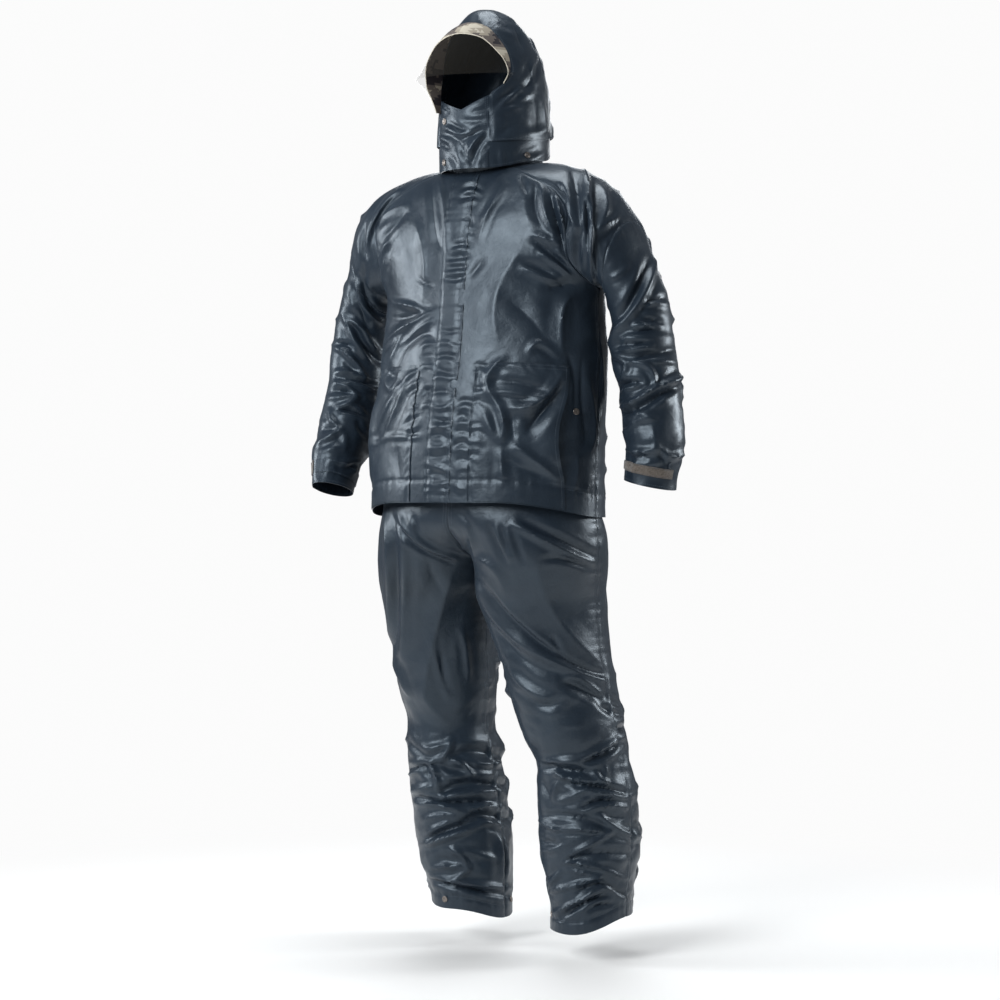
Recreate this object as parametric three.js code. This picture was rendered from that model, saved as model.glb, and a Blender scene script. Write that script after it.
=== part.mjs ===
import * as THREE from "three";

// Rain suit worn by nobody: a hooded jacket over trousers, every piece of cloth a thin wall.
// Millimetres, +Z up, the front faces -Y and the wearer's left is +X.
// The origin is the centre of the neck base, where the shoulders carry the suit.

const CLOTH = 2;
const VINYL = 1.2;
const SEAM = 0.15; // each piece stops this far short of a seam line
const LAY = 0.35; // clearance under what lies on a panel
const ON = CLOTH + LAY; // from the middle of one layer of cloth to the middle of the next

const HEM_FRONT = -628;
const HEM_BACK = -655;
const ARMPIT = -235;
const PLACKET_HALF = 27.5;
const POCKET_TOP = -374;
const COLLAR_TOP = 34;
const HOOD_YAW = THREE.MathUtils.degToRad(-5);
const HOOD_CENTRE = new THREE.Vector3(5, -2, 0);
const HOOD_WIDE = 100;
const HOOD_DEEP = 112;
const STRIP_HALF = 45; // half the width of the hood's centre panel
const MASK_LOW = -11;
const WAIST = -470;
const WAISTBAND = 36;
const CROTCH = -736;
const SNAP_RADIUS = 6;
const SNAP_HIGH = 2.2;

// Horizontal sections of the jacket body; above the armpit they take in the shoulders.
const TORSO = [
  { z: -665, x: 0, y: -19, wide: 238, front: 170, back: 165 },
  { z: -576, x: 0, y: -19, wide: 237, front: 168, back: 165 },
  { z: -470, x: 3, y: -17, wide: 236, front: 164, back: 163 },
  { z: -350, x: 7, y: -10, wide: 233, front: 152, back: 155 },
  { z: -235, x: 3, y: 2, wide: 228, front: 145, back: 140 },
  { z: -200, x: 2, y: 4, wide: 246, front: 141, back: 134 },
  { z: -150, x: 0, y: 5, wide: 280, front: 134, back: 126 },
  { z: -110, x: 0, y: 5, wide: 296, front: 127, back: 119 },
  { z: -85, x: 0, y: 5, wide: 284, front: 120, back: 114 },
  { z: -55, x: 0, y: 5, wide: 258, front: 110, back: 107 },
  { z: -30, x: 0, y: 5, wide: 226, front: 98, back: 100 },
  { z: -15, x: 0, y: 5, wide: 194, front: 86, back: 95 },
  { z: -5, x: 0, y: 5, wide: 150, front: 72, back: 91 },
  { z: 5, x: 0, y: 5, wide: 112, front: 55, back: 85 },
  { z: 12, x: 0, y: 5, wide: 88, front: 40, back: 78 },
];

// The armhole seam: its angle round the body from the centre front, or from the centre back.
const ARMHOLE_FRONT = [
  { z: -235, angle: 90 },
  { z: -215, angle: 70 },
  { z: -190, angle: 57 },
  { z: -150, angle: 49 },
  { z: -110, angle: 46.5 },
  { z: -85, angle: 46 },
  { z: -55, angle: 43 },
  { z: -30, angle: 35 },
  { z: -15, angle: 30 },
  { z: -5, angle: 26 },
];
const ARMHOLE_BACK = [
  { z: -235, angle: 90 },
  { z: -215, angle: 70 },
  { z: -190, angle: 56 },
  { z: -150, angle: 49 },
  { z: -110, angle: 46 },
  { z: -85, angle: 45 },
  { z: -55, angle: 42 },
  { z: -30, angle: 37 },
  { z: -10, angle: 34 },
  { z: 6, angle: 32 },
];

// Rows of the front and back above the armpit: height at the centre line and at the armhole.
const YOKE_FRONT = [
  { centre: -206, edge: -208 },
  { centre: -176, edge: -175 },
  { centre: -146, edge: -140 },
  { centre: -116, edge: -108 },
  { centre: -88, edge: -80 },
  { centre: -62, edge: -52 },
  { centre: -38, edge: -26 },
  { centre: -15, edge: -5 },
];
const YOKE_BACK = [
  { centre: -205, edge: -208 },
  { centre: -173, edge: -175 },
  { centre: -141, edge: -140 },
  { centre: -110, edge: -108 },
  { centre: -80, edge: -80 },
  { centre: -50, edge: -50 },
  { centre: -20, edge: -20 },
  { centre: 10, edge: 6 },
];
const BODY_ROWS = [-600, -570, -540, -510, -480, -450, -422, -398, POCKET_TOP, -345, -316, -288, -260];

// Sleeve rings from the shoulder to the cuff: the point on top or outside, the point underneath,
// the depth front to back, how far the front and back points bow outwards, and how far they lean.
const SLEEVE_LEFT = [
  { topX: 150, topZ: -1, lowX: 243, lowZ: -233, y: 4, deep: 89, bow: 40, lean: 0 },
  { topX: 212, topZ: -22, lowX: 248, lowZ: -237, y: 8, deep: 87, bow: 27, lean: 0 },
  { topX: 258, topZ: -58, lowX: 250, lowZ: -244, y: 13, deep: 80, bow: 12, lean: 0 },
  { topX: 294, topZ: -112, lowX: 252, lowZ: -258, y: 19, deep: 75, bow: 5, lean: 0 },
  { topX: 320, topZ: -178, lowX: 252, lowZ: -274, y: 25, deep: 70, bow: 2, lean: 0 },
  { topX: 352, topZ: -258, lowX: 251, lowZ: -298, y: 28, deep: 65, bow: 0, lean: 0 },
  { topX: 370, topZ: -352, lowX: 256, lowZ: -372, y: 26, deep: 65, bow: 0, lean: 4 },
  { topX: 384, topZ: -428, lowX: 276, lowZ: -448, y: 20, deep: 60, bow: 0, lean: 5 },
  { topX: 396, topZ: -508, lowX: 288, lowZ: -508, y: 14, deep: 59, bow: 0, lean: 4 },
  { topX: 391, topZ: -548, lowX: 292, lowZ: -532, y: 12, deep: 55, bow: 0, lean: 2 },
  { topX: 382, topZ: -586, lowX: 288, lowZ: -564, y: 12, deep: 50, bow: 0, lean: 0 },
  { topX: 380, topZ: -606, lowX: 286, lowZ: -584, y: 12, deep: 50, bow: 0, lean: 0 },
];
const SLEEVE_RIGHT = [
  { topX: 152, topZ: 1, lowX: 241, lowZ: -233, y: 4, deep: 89, bow: 42, lean: 0 },
  { topX: 219, topZ: -19, lowX: 247, lowZ: -237, y: 8, deep: 87, bow: 26, lean: 0 },
  { topX: 280, topZ: -58, lowX: 252, lowZ: -244, y: 13, deep: 80, bow: 10, lean: 0 },
  { topX: 309, topZ: -114, lowX: 256, lowZ: -260, y: 19, deep: 75, bow: 2, lean: 0 },
  { topX: 337, topZ: -176, lowX: 259, lowZ: -278, y: 25, deep: 70, bow: 0, lean: 0 },
  { topX: 364, topZ: -262, lowX: 265, lowZ: -304, y: 25, deep: 65, bow: 0, lean: 4 },
  { topX: 377, topZ: -344, lowX: 275, lowZ: -356, y: 17, deep: 64, bow: 0, lean: 10 },
  { topX: 373, topZ: -412, lowX: 271, lowZ: -408, y: 0, deep: 61, bow: 0, lean: 20 },
  { topX: 376, topZ: -484, lowX: 268, lowZ: -478, y: -28, deep: 58, bow: 0, lean: 24 },
  { topX: 370, topZ: -540, lowX: 274, lowZ: -534, y: -56, deep: 55, bow: 0, lean: 24 },
  { topX: 352, topZ: -587, lowX: 280, lowZ: -582, y: -79, deep: 51, bow: 0, lean: 18 },
  { topX: 348, topZ: -605, lowX: 278, lowZ: -600, y: -87, deep: 50, bow: 0, lean: 16 },
];
const SLEEVE_SPANS = [1, 1, 1, 1, 1, 3, 3, 3, 3, 2, 2, 1]; // cells from each ring to the one before
const PIECING_RING = 4; // rings above this one belong to the upper piece of the sleeve
const NECK_CELLS = 4;
const NECK_SUMMIT = { x: 84, y: 3, z: 7 }; // where the neckline crosses the top of the shoulder
// Turn of each sleeve column from the outer side to the underarm: close together where they fan out.
const SLEEVE_TURNS = [0, 15, 30, 40, 52, 68, 86, 105, 125, 150, 180];

// Trouser legs: centre of each section, half its width, and its depth to the front and the back.
const LEG_LEFT = [
  { z: -1430, x: 188, y: 46, wide: 73, front: 82, back: 82 },
  { z: -1372, x: 186, y: 50, wide: 75, front: 84, back: 83 },
  { z: -1277, x: 177, y: 60, wide: 89, front: 98, back: 98 },
  { z: -1179, x: 171, y: 62, wide: 91, front: 100, back: 99 },
  { z: -1112, x: 163, y: 60, wide: 86, front: 95, back: 94 },
  { z: -1060, x: 146, y: 55, wide: 95, front: 105, back: 103 },
  { z: -994, x: 128, y: 50, wide: 100, front: 112, back: 110 },
  { z: -901, x: 111, y: 40, wide: 103, front: 117, back: 114 },
  { z: -808, x: 92, y: 28, wide: 118, front: 134, back: 128 },
  { z: -770, x: 98, y: 16, wide: 120, front: 142, back: 132 },
  { z: CROTCH, x: 108, y: 6, wide: 120, front: 147, back: 136 },
];
const LEG_RIGHT = [
  { z: -1440, x: -102, y: 86, wide: 74, front: 84, back: 82 },
  { z: -1376, x: -106, y: 86, wide: 77, front: 86, back: 84 },
  { z: -1307, x: -117, y: 86, wide: 88, front: 98, back: 96 },
  { z: -1208, x: -131, y: 85, wide: 90, front: 101, back: 98 },
  { z: -1110, x: -143, y: 80, wide: 88, front: 99, back: 97 },
  { z: -1050, x: -147, y: 76, wide: 82, front: 92, back: 91 },
  { z: -992, x: -149, y: 70, wide: 93, front: 105, back: 103 },
  { z: -901, x: -150, y: 56, wide: 98, front: 112, back: 108 },
  { z: -810, x: -147, y: 38, wide: 106, front: 124, back: 118 },
  { z: -770, x: -135, y: 20, wide: 110, front: 138, back: 128 },
  { z: CROTCH, x: -122, y: 6, wide: 110, front: 147, back: 136 },
];
// Trouser top: half width and depths, the seat seam's place, and how far the legs have parted.
const PELVIS = [
  { z: CROTCH, side: 230, seam: -12, y: 6, front: 147, back: 136, split: 1 },
  { z: -728, side: 231, seam: -11, y: 5, front: 148, back: 136, split: 0.97 },
  { z: -716, side: 232, seam: -9, y: 3, front: 149, back: 137, split: 0.9 },
  { z: -697, side: 233, seam: -6, y: 1, front: 150, back: 138, split: 0.78 },
  { z: -668, side: 230, seam: -2, y: -3, front: 151, back: 130, split: 0.42 },
  { z: -636, side: 225, seam: 2, y: -6, front: 150, back: 121, split: 0.12 },
  { z: -600, side: 222, seam: 4, y: -8, front: 147, back: 124, split: 0 },
  { z: -540, side: 212, seam: 4, y: -8, front: 138, back: 130, split: 0 },
  { z: -500, side: 190, seam: 3, y: -8, front: 128, back: 122, split: 0 },
  { z: WAIST, side: 172, seam: 2, y: -8, front: 118, back: 114, split: 0 },
];
const PELVIS_ROWS = [-728, -716, -697, -668, -636, -600, -570, -540, -500, WAIST];
const LEG_ROWS = [
  -1375, -1348, -1322, -1296, -1270, -1244, -1218, -1192, -1166, -1140, -1114, -1088, -1060, -1030,
  -998, -960, -920, -880, -840, -803, -768,
];
// Trouser hems: height at the outer side, the front, the inner side and the back of each leg.
const HEM_LEFT = { outer: -1392, front: -1420, inner: -1420, back: -1388 };
const HEM_RIGHT = { outer: -1382, front: -1404, inner: -1426, back: -1420 };

// Hood: how much of its full section is left at each height, and how far the section moves back.
const HOOD = [
  { z: -20, size: 0.99, shift: 0 },
  { z: 60, size: 1, shift: 0 },
  { z: 120, size: 0.985, shift: 0 },
  { z: 156, size: 0.955, shift: 0 },
  { z: 190, size: 0.9, shift: -4 },
  { z: 213, size: 0.84, shift: -8 },
  { z: 245, size: 0.7, shift: -12 },
  { z: 270, size: 0.52, shift: -16 },
  { z: 285, size: 0.36, shift: -20 },
  { z: 293, size: 0.2, shift: -22 },
  { z: 296, size: 0.02, shift: -23 },
];
// Edge of the face opening on each side: its angle from the centre front at each height.
const FACE_EDGE = [
  { z: 122, left: 36, right: 36 },
  { z: 145, left: 50, right: 47 },
  { z: 165, left: 58, right: 54 },
  { z: 190, left: 60, right: 53 },
  { z: 215, left: 57, right: 48 },
  { z: 240, left: 46, right: 38 },
  { z: 257, left: 30, right: 28 },
];

// Folds drawn by hand on the cloth, from one end to the other. Round is in degrees about the
// panel's own middle, level is a height, high is how far the ridge stands and broad its half width.
const SLEEVE_FOLDS_LEFT = [
  { round: 20, level: -250, toRound: 130, toLevel: -285, high: 7, broad: 13 },
  { round: 40, level: -316, toRound: 170, toLevel: -342, high: 8, broad: 14 },
  { round: 350, level: -345, toRound: 120, toLevel: -372, high: 9, broad: 14 },
  { round: 30, level: -408, toRound: 160, toLevel: -388, high: 7, broad: 13 },
  { round: 20, level: -450, toRound: 150, toLevel: -476, high: 7, broad: 13 },
  { round: 0, level: -505, toRound: 130, toLevel: -516, high: 7, broad: 12 },
  { round: 200, level: -330, toRound: 320, toLevel: -356, high: 8, broad: 14 },
  { round: 190, level: -395, toRound: 330, toLevel: -418, high: 7, broad: 13 },
  { round: 200, level: -470, toRound: 340, toLevel: -492, high: 7, broad: 13 },
];
const SLEEVE_FOLDS_RIGHT = [
  { round: 350, level: -238, toRound: 110, toLevel: -268, high: 7, broad: 13 },
  { round: 0, level: -312, toRound: 120, toLevel: -346, high: 9, broad: 14 },
  { round: 10, level: -372, toRound: 140, toLevel: -398, high: 8, broad: 13 },
  { round: 350, level: -438, toRound: 110, toLevel: -428, high: 8, broad: 13 },
  { round: 0, level: -496, toRound: 130, toLevel: -508, high: 7, broad: 12 },
  { round: 200, level: -322, toRound: 330, toLevel: -348, high: 8, broad: 14 },
  { round: 195, level: -408, toRound: 320, toLevel: -428, high: 7, broad: 13 },
  { round: 200, level: -480, toRound: 330, toLevel: -500, high: 7, broad: 12 },
];
const LEG_FOLDS_LEFT = [
  { round: 20, level: -800, toRound: 125, toLevel: -985, high: 8, broad: 18 },
  { round: 30, level: -1050, toRound: 165, toLevel: -1020, high: 10, broad: 18 },
  { round: 50, level: -1112, toRound: 170, toLevel: -1078, high: -9, broad: 15 },
  { round: 10, level: -1148, toRound: 150, toLevel: -1166, high: 8, broad: 15 },
  { round: 30, level: -1222, toRound: 160, toLevel: -1198, high: 8, broad: 16 },
  { round: 0, level: -1290, toRound: 120, toLevel: -1318, high: 8, broad: 15 },
  { round: 40, level: -1352, toRound: 165, toLevel: -1340, high: 8, broad: 14 },
  { round: 200, level: -1040, toRound: 340, toLevel: -1075, high: 9, broad: 17 },
  { round: 190, level: -1130, toRound: 330, toLevel: -1160, high: 8, broad: 16 },
  { round: 210, level: -1230, toRound: 350, toLevel: -1262, high: 8, broad: 16 },
  { round: 190, level: -1330, toRound: 320, toLevel: -1345, high: 7, broad: 14 },
];
const LEG_FOLDS_RIGHT = [
  { round: 20, level: -960, toRound: 140, toLevel: -1004, high: 7, broad: 17 },
  { round: 10, level: -1062, toRound: 150, toLevel: -1040, high: -8, broad: 15 },
  { round: 20, level: -1098, toRound: 160, toLevel: -1116, high: 9, broad: 15 },
  { round: 0, level: -1158, toRound: 130, toLevel: -1142, high: 8, broad: 15 },
  { round: 30, level: -1206, toRound: 165, toLevel: -1232, high: 8, broad: 16 },
  { round: 10, level: -1286, toRound: 140, toLevel: -1268, high: 8, broad: 15 },
  { round: 20, level: -1336, toRound: 160, toLevel: -1352, high: 8, broad: 14 },
  { round: 200, level: -1050, toRound: 330, toLevel: -1082, high: 9, broad: 17 },
  { round: 190, level: -1150, toRound: 340, toLevel: -1176, high: 8, broad: 16 },
  { round: 205, level: -1262, toRound: 340, toLevel: -1290, high: 8, broad: 15 },
];
const BODY_FOLDS = [
  { round: 58, level: -265, toRound: 30, toLevel: -330, high: 6, broad: 18 },
  { round: 62, level: -300, toRound: 80, toLevel: -560, high: 7, broad: 18 },
  { round: -52, level: -250, toRound: -30, toLevel: -300, high: 6, broad: 17 },
  { round: -70, level: -300, toRound: -62, toLevel: -420, high: 6, broad: 18 },
  { round: 130, level: -270, toRound: 110, toLevel: -520, high: 7, broad: 20 },
  { round: 165, level: -330, toRound: 158, toLevel: -600, high: 6, broad: 20 },
  { round: -140, level: -280, toRound: -118, toLevel: -540, high: 7, broad: 20 },
];

const { sin, cos, asin, acos, hypot, PI, min, max } = Math;
const { degToRad: rad, radToDeg: degrees, lerp: mix, smoothstep: ease, clamp } = THREE.MathUtils;
const point = (x, y, z) => new THREE.Vector3(x, y, z);

// Every column of a table at one height, by cubic spans through its rows.
function rowAt(table, height) {
  const last = table.length - 1;
  const z = clamp(height, table[0].z, table[last].z);
  let i = 0;
  while (i < last - 1 && z > table[i + 1].z) i += 1;
  const [a, b] = [table[i], table[i + 1]];
  const before = table[max(i - 1, 0)];
  const after = table[min(i + 2, last)];
  const span = b.z - a.z;
  const t = (z - a.z) / span;
  const row = {};
  for (const key of Object.keys(a)) {
    const slopeA = ((b[key] - before[key]) / (b.z - before.z)) * span;
    const slopeB = ((after[key] - a[key]) / (after.z - a.z)) * span;
    row[key] = hermite(a[key], b[key], slopeA, slopeB, t);
  }
  return row;
}

function hermite(a, b, slopeA, slopeB, t) {
  const rise = t * t * (3 - 2 * t);
  const leave = t * (1 - t) * (1 - t);
  const arrive = t * t * (1 - t);
  return a + (b - a) * rise + slopeA * leave - slopeB * arrive;
}

// Height of the folds at one place on the cloth; reach is the radius that turns degrees into length.
function foldHeight(folds, round, level, reach) {
  const shortWay = (turn) => ((((turn % 360) + 540) % 360) - 180) * rad(1) * reach;
  let height = 0;
  for (const fold of folds) {
    const along = { u: shortWay(fold.toRound - fold.round), v: fold.toLevel - fold.level };
    const length = hypot(along.u, along.v);
    const u = shortWay(round - fold.round);
    const v = level - fold.level;
    const share = (u * along.u + v * along.v) / (length * length);
    const off = (u * along.v - v * along.u) / length;
    const end = ease(share, -0.12, 0.3) * (1 - ease(share, 0.7, 1.12));
    height += fold.high * end * Math.exp(-((off / fold.broad) ** 2));
  }
  return height;
}

// A sheet is a grid of points with a normal at each; rows run up or along, columns run round.
function sheetOf(rows, columns, place, turned = false) {
  const points = [];
  for (let i = 0; i <= rows; i += 1) {
    points.push([]);
    for (let j = 0; j <= columns; j += 1) points[i].push(place(i, j));
  }
  return { points, normals: normalsOf(points, turned) };
}

function normalsOf(points, turned) {
  const lastRow = points.length - 1;
  const lastColumn = points[0].length - 1;
  const closed = points[0][0].distanceTo(points[0][lastColumn]) < 1e-6;
  return points.map((row, i) =>
    row.map((unused, j) => {
      const down = points[max(i - 1, 0)][j];
      const up = points[min(i + 1, lastRow)][j];
      const left = row[j > 0 ? j - 1 : closed ? lastColumn - 1 : 0];
      const right = row[j < lastColumn ? j + 1 : closed ? 1 : lastColumn];
      const across = right.clone().sub(left);
      const along = up.clone().sub(down);
      const normal = across.cross(along).normalize();
      return turned ? normal.negate() : normal;
    }),
  );
}

// Where sheets are sewn together they share one normal, so their walls stay side by side.
function sew(sheets) {
  const key = (p) => [p.x, p.y, p.z].map((c) => c.toFixed(3)).join(" ");
  const shared = new Map();
  for (const { points, normals } of sheets)
    points.forEach((row, i) =>
      row.forEach((p, j) => {
        const sum = shared.get(key(p)) ?? point(0, 0, 0);
        shared.set(key(p), sum.add(normals[i][j]));
      }),
    );
  for (const sheet of sheets)
    sheet.normals = sheet.points.map((row) => row.map((p) => shared.get(key(p)).clone().normalize()));
}

// Part of a sheet, by its rows and columns.
function patch(sheet, fromRow, toRow, fromColumn, toColumn) {
  const cut = (grid) => grid.slice(fromRow, toRow + 1).map((row) => row.slice(fromColumn, toColumn + 1));
  return { points: cut(sheet.points), normals: cut(sheet.normals) };
}

// The sheet with its edges drawn in, square to each edge, by the amounts given in millimetres.
function trimmed(sheet, { low = 0, high = 0, left = 0, right = 0 }) {
  const points = sheet.points.map((row) => row.map((p) => p.clone()));
  const rows = points.length - 1;
  const columns = points[0].length - 1;
  const step = (from, inward, before, after, amount) => {
    const at = ([i, j]) => sheet.points[i][j];
    const edge = at(after).clone().sub(at(before)).normalize();
    const way = at(inward).clone().sub(at(from));
    way.addScaledVector(edge, -way.dot(edge)).normalize();
    points[from[0]][from[1]].addScaledVector(way, amount);
  };
  for (let j = 0; j <= columns; j += 1) {
    const [a, b] = [max(j - 1, 0), min(j + 1, columns)];
    if (low) step([0, j], [1, j], [0, a], [0, b], low);
    if (high) step([rows, j], [rows - 1, j], [rows, a], [rows, b], high);
  }
  for (let i = 0; i <= rows; i += 1) {
    const [a, b] = [max(i - 1, 0), min(i + 1, rows)];
    if (left) step([i, 0], [i, 1], [a, 0], [b, 0], left);
    if (right) step([i, columns], [i, columns - 1], [a, columns], [b, columns], right);
  }
  return { points, normals: sheet.normals };
}

// A closed wall about a sheet: lift moves it out along the normals, by a number or place by place.
function wallOf(sheet, thick = CLOTH, lift = 0) {
  const rows = sheet.points.length - 1;
  const columns = sheet.points[0].length - 1;
  const closed = sheet.points[0][0].distanceTo(sheet.points[0][columns]) < 1e-6;
  const width = closed ? columns : columns + 1;
  const places = [];
  for (const side of [1, -1])
    for (let i = 0; i <= rows; i += 1)
      for (let j = 0; j < width; j += 1) {
        const out = (typeof lift === "function" ? lift(i, j) : lift) + (side * thick) / 2;
        const p = sheet.points[i][j].clone().addScaledVector(sheet.normals[i][j], out);
        places.push(p.x, p.y, p.z);
      }
  const layer = (rows + 1) * width;
  const outer = (i, j) => i * width + (j % width);
  const inner = (i, j) => layer + outer(i, j);
  const faces = [];
  const quad = (a, b, c, d) => faces.push(a, b, c, a, c, d);
  // The rims of two pieces along one seam are split the same way: down from the higher outer point.
  const rim = (a, b) => {
    const [outA, outB, inA, inB] = [outer(...a), outer(...b), inner(...a), inner(...b)];
    if (places[3 * outA + 2] > places[3 * outB + 2]) quad(outA, outB, inB, inA);
    else quad(outB, inB, inA, outA);
  };
  for (let i = 0; i < rows; i += 1)
    for (let j = 0; j < columns; j += 1) {
      quad(outer(i, j), outer(i, j + 1), outer(i + 1, j + 1), outer(i + 1, j));
      quad(inner(i, j), inner(i + 1, j), inner(i + 1, j + 1), inner(i, j + 1));
    }
  for (let j = 0; j < columns; j += 1) {
    rim([0, j + 1], [0, j]);
    rim([rows, j], [rows, j + 1]);
  }
  if (!closed)
    for (let i = 0; i < rows; i += 1) {
      rim([i, 0], [i + 1, 0]);
      rim([i + 1, columns], [i, columns]);
    }
  const geometry = new THREE.BufferGeometry();
  geometry.setAttribute("position", new THREE.BufferAttribute(new Float32Array(places), 3));
  geometry.setIndex(faces);
  return volumeOf(geometry) < 0 ? insideOut(geometry) : geometry;
}

function volumeOf(geometry) {
  const p = geometry.attributes.position;
  const index = geometry.index.array;
  const [a, b, c] = [point(0, 0, 0), point(0, 0, 0), point(0, 0, 0)];
  let volume = 0;
  for (let i = 0; i < index.length; i += 3) {
    a.fromBufferAttribute(p, index[i]);
    b.fromBufferAttribute(p, index[i + 1]);
    c.fromBufferAttribute(p, index[i + 2]);
    volume += a.dot(b.cross(c)) / 6;
  }
  return volume;
}

function insideOut(geometry) {
  const index = geometry.index.array;
  for (let i = 0; i < index.length; i += 3) [index[i + 1], index[i + 2]] = [index[i + 2], index[i + 1]];
  return geometry;
}

const NYLON = new THREE.MeshStandardMaterial({ color: 0x3b4856, roughness: 0.42, metalness: 0 });
const TAPE = new THREE.MeshStandardMaterial({ color: 0x5d5650, roughness: 0.95, metalness: 0 });
const CAMOUFLAGE = new THREE.MeshStandardMaterial({ color: 0x7a6f66, roughness: 0.8, metalness: 0 });
const CLEAR = new THREE.MeshStandardMaterial({
  color: 0xe8e4dc,
  roughness: 0.12,
  metalness: 0,
  transparent: true,
  opacity: 0.35,
});
const BRASS = new THREE.MeshStandardMaterial({ color: 0x4a4440, roughness: 0.45, metalness: 0.8 });

const suit = new THREE.Group();

function add(name, geometry, material = NYLON) {
  const mesh = new THREE.Mesh(geometry, material);
  mesh.name = name;
  suit.add(mesh);
  return mesh;
}

// Jacket body: angle is from the centre front, positive to the wearer's left.
function bodyPoint(angle, z) {
  const s = rowAt(TORSO, z);
  const a = rad(angle);
  const deep = cos(a) > 0 ? s.front : s.back;
  const firm = ease(z, HEM_BACK, -600) * (1 - ease(z, -160, -60));
  const fold = foldHeight(BODY_FOLDS, angle, z, 205) * firm;
  const out = point(sin(a) * deep, -cos(a) * s.wide, 0).normalize().multiplyScalar(fold);
  return point(s.x + s.wide * sin(a) + out.x, s.y - deep * cos(a) + out.y, z);
}

// Angles of the front's columns: placket edge, pocket edges and side seam are columns of it.
const FRONT_SHARES = [0, 0, 0.105, 0.26, 0.41, 0.555, 0.694, 0.847, 1];
const FRONT_COLUMNS = FRONT_SHARES.length - 1;
function frontAngle(column, z, edgeAngle) {
  const wide = rowAt(TORSO, z).wide;
  const placket = degrees(asin(PLACKET_HALF / wide));
  return column === 0 ? 0 : mix(placket, edgeAngle, FRONT_SHARES[column]);
}

function hemHeight(angle) {
  return mix(HEM_FRONT, HEM_BACK, ease(Math.abs(angle), 25, 95));
}

function frontPlace(side, row, column) {
  const bodyCount = BODY_ROWS.length;
  if (row <= bodyCount + 1) {
    const z = row === 0 ? HEM_FRONT : row <= bodyCount ? BODY_ROWS[row - 1] : ARMPIT;
    const angle = frontAngle(column, z, 90);
    return bodyPoint(side * angle, row === 0 ? hemHeight(angle) : z);
  }
  const { centre, edge } = YOKE_FRONT[row - bodyCount - 2];
  const z = mix(centre, edge, column / FRONT_COLUMNS);
  return bodyPoint(side * frontAngle(column, centre, rowAt(ARMHOLE_FRONT, edge).angle), z);
}

const BACK_COLUMNS = 12;
function backPlace(row, column) {
  const bodyCount = BODY_ROWS.length;
  const share = (column / BACK_COLUMNS) * 2 - 1; // 1 is the wearer's left side seam
  if (row <= bodyCount + 1) {
    const angle = 180 - share * 90;
    const z = row === 0 ? hemHeight(90) : row <= bodyCount ? BODY_ROWS[row - 1] : ARMPIT;
    return bodyPoint(angle, row === 0 ? hemHeight(min(angle, 360 - angle)) : z);
  }
  const { centre, edge } = YOKE_BACK[row - bodyCount - 2];
  const z = mix(centre, edge, Math.abs(share));
  return bodyPoint(180 - share * rowAt(ARMHOLE_BACK, edge).angle, z);
}

const bodyRows = BODY_ROWS.length + 1 + YOKE_FRONT.length;
const frontLeft = sheetOf(bodyRows, FRONT_COLUMNS, (i, j) => frontPlace(1, i, j));
const frontRight = sheetOf(bodyRows, FRONT_COLUMNS, (i, j) => frontPlace(-1, i, j), true);
const back = sheetOf(bodyRows, BACK_COLUMNS, backPlace, true);
const armpitRow = BODY_ROWS.length + 1;

// Sleeves: column 0 is on top, the front seam comes next, then the armpit and the back seam.
const SEAM_CELLS = YOKE_FRONT.length;
const SLEEVE_COLUMNS = NECK_CELLS + 2 * SEAM_CELLS;

function armholeLoop(side, front) {
  const top = bodyRows;
  const lastBack = side > 0 ? BACK_COLUMNS : 0;
  const half = NECK_CELLS / 2;
  const neckFront = front.points[top][FRONT_COLUMNS];
  const neckBack = back.points[top][lastBack];
  const summit = point(side * NECK_SUMMIT.x, NECK_SUMMIT.y, NECK_SUMMIT.z);
  const loop = [];
  for (let k = 0; k <= SLEEVE_COLUMNS; k += 1) {
    const c = k % SLEEVE_COLUMNS;
    if (c < half) loop.push(neckCurve(summit, neckFront, c / half));
    else if (c <= half + SEAM_CELLS) loop.push(front.points[top - (c - half)][FRONT_COLUMNS].clone());
    else if (c <= half + 2 * SEAM_CELLS) {
      const up = c - half - SEAM_CELLS;
      loop.push(back.points[armpitRow + up][lastBack].clone());
    } else loop.push(neckCurve(summit, neckBack, (SLEEVE_COLUMNS - c) / half));
  }
  return loop;
}

// The neckline runs over the shoulder on a round curve from the summit to a seam's end.
function neckCurve(summit, end, share) {
  const p = summit.clone().lerp(end, share);
  const reach = mix(hypot(summit.x, summit.y), hypot(end.x, end.y), share);
  const flat = hypot(p.x, p.y);
  p.x *= reach / flat;
  p.y *= reach / flat;
  return p;
}

function sleeveTurn(column) {
  const ahead = column <= SLEEVE_COLUMNS / 2;
  return ahead ? SLEEVE_TURNS[column] : 360 - SLEEVE_TURNS[SLEEVE_COLUMNS - column];
}

function ringPoint(ring, side, column) {
  const a = rad(sleeveTurn(column));
  const tip = rad(ring.lean);
  const share = (1 - cos(a)) / 2;
  const x = mix(ring.topX, ring.lowX, share) + ring.bow * sin(a) ** 2;
  const z = mix(ring.topZ, ring.lowZ, share);
  const forward = ring.deep * sin(a);
  return point(side * x, ring.y - forward * cos(tip), z + forward * sin(tip));
}

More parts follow.
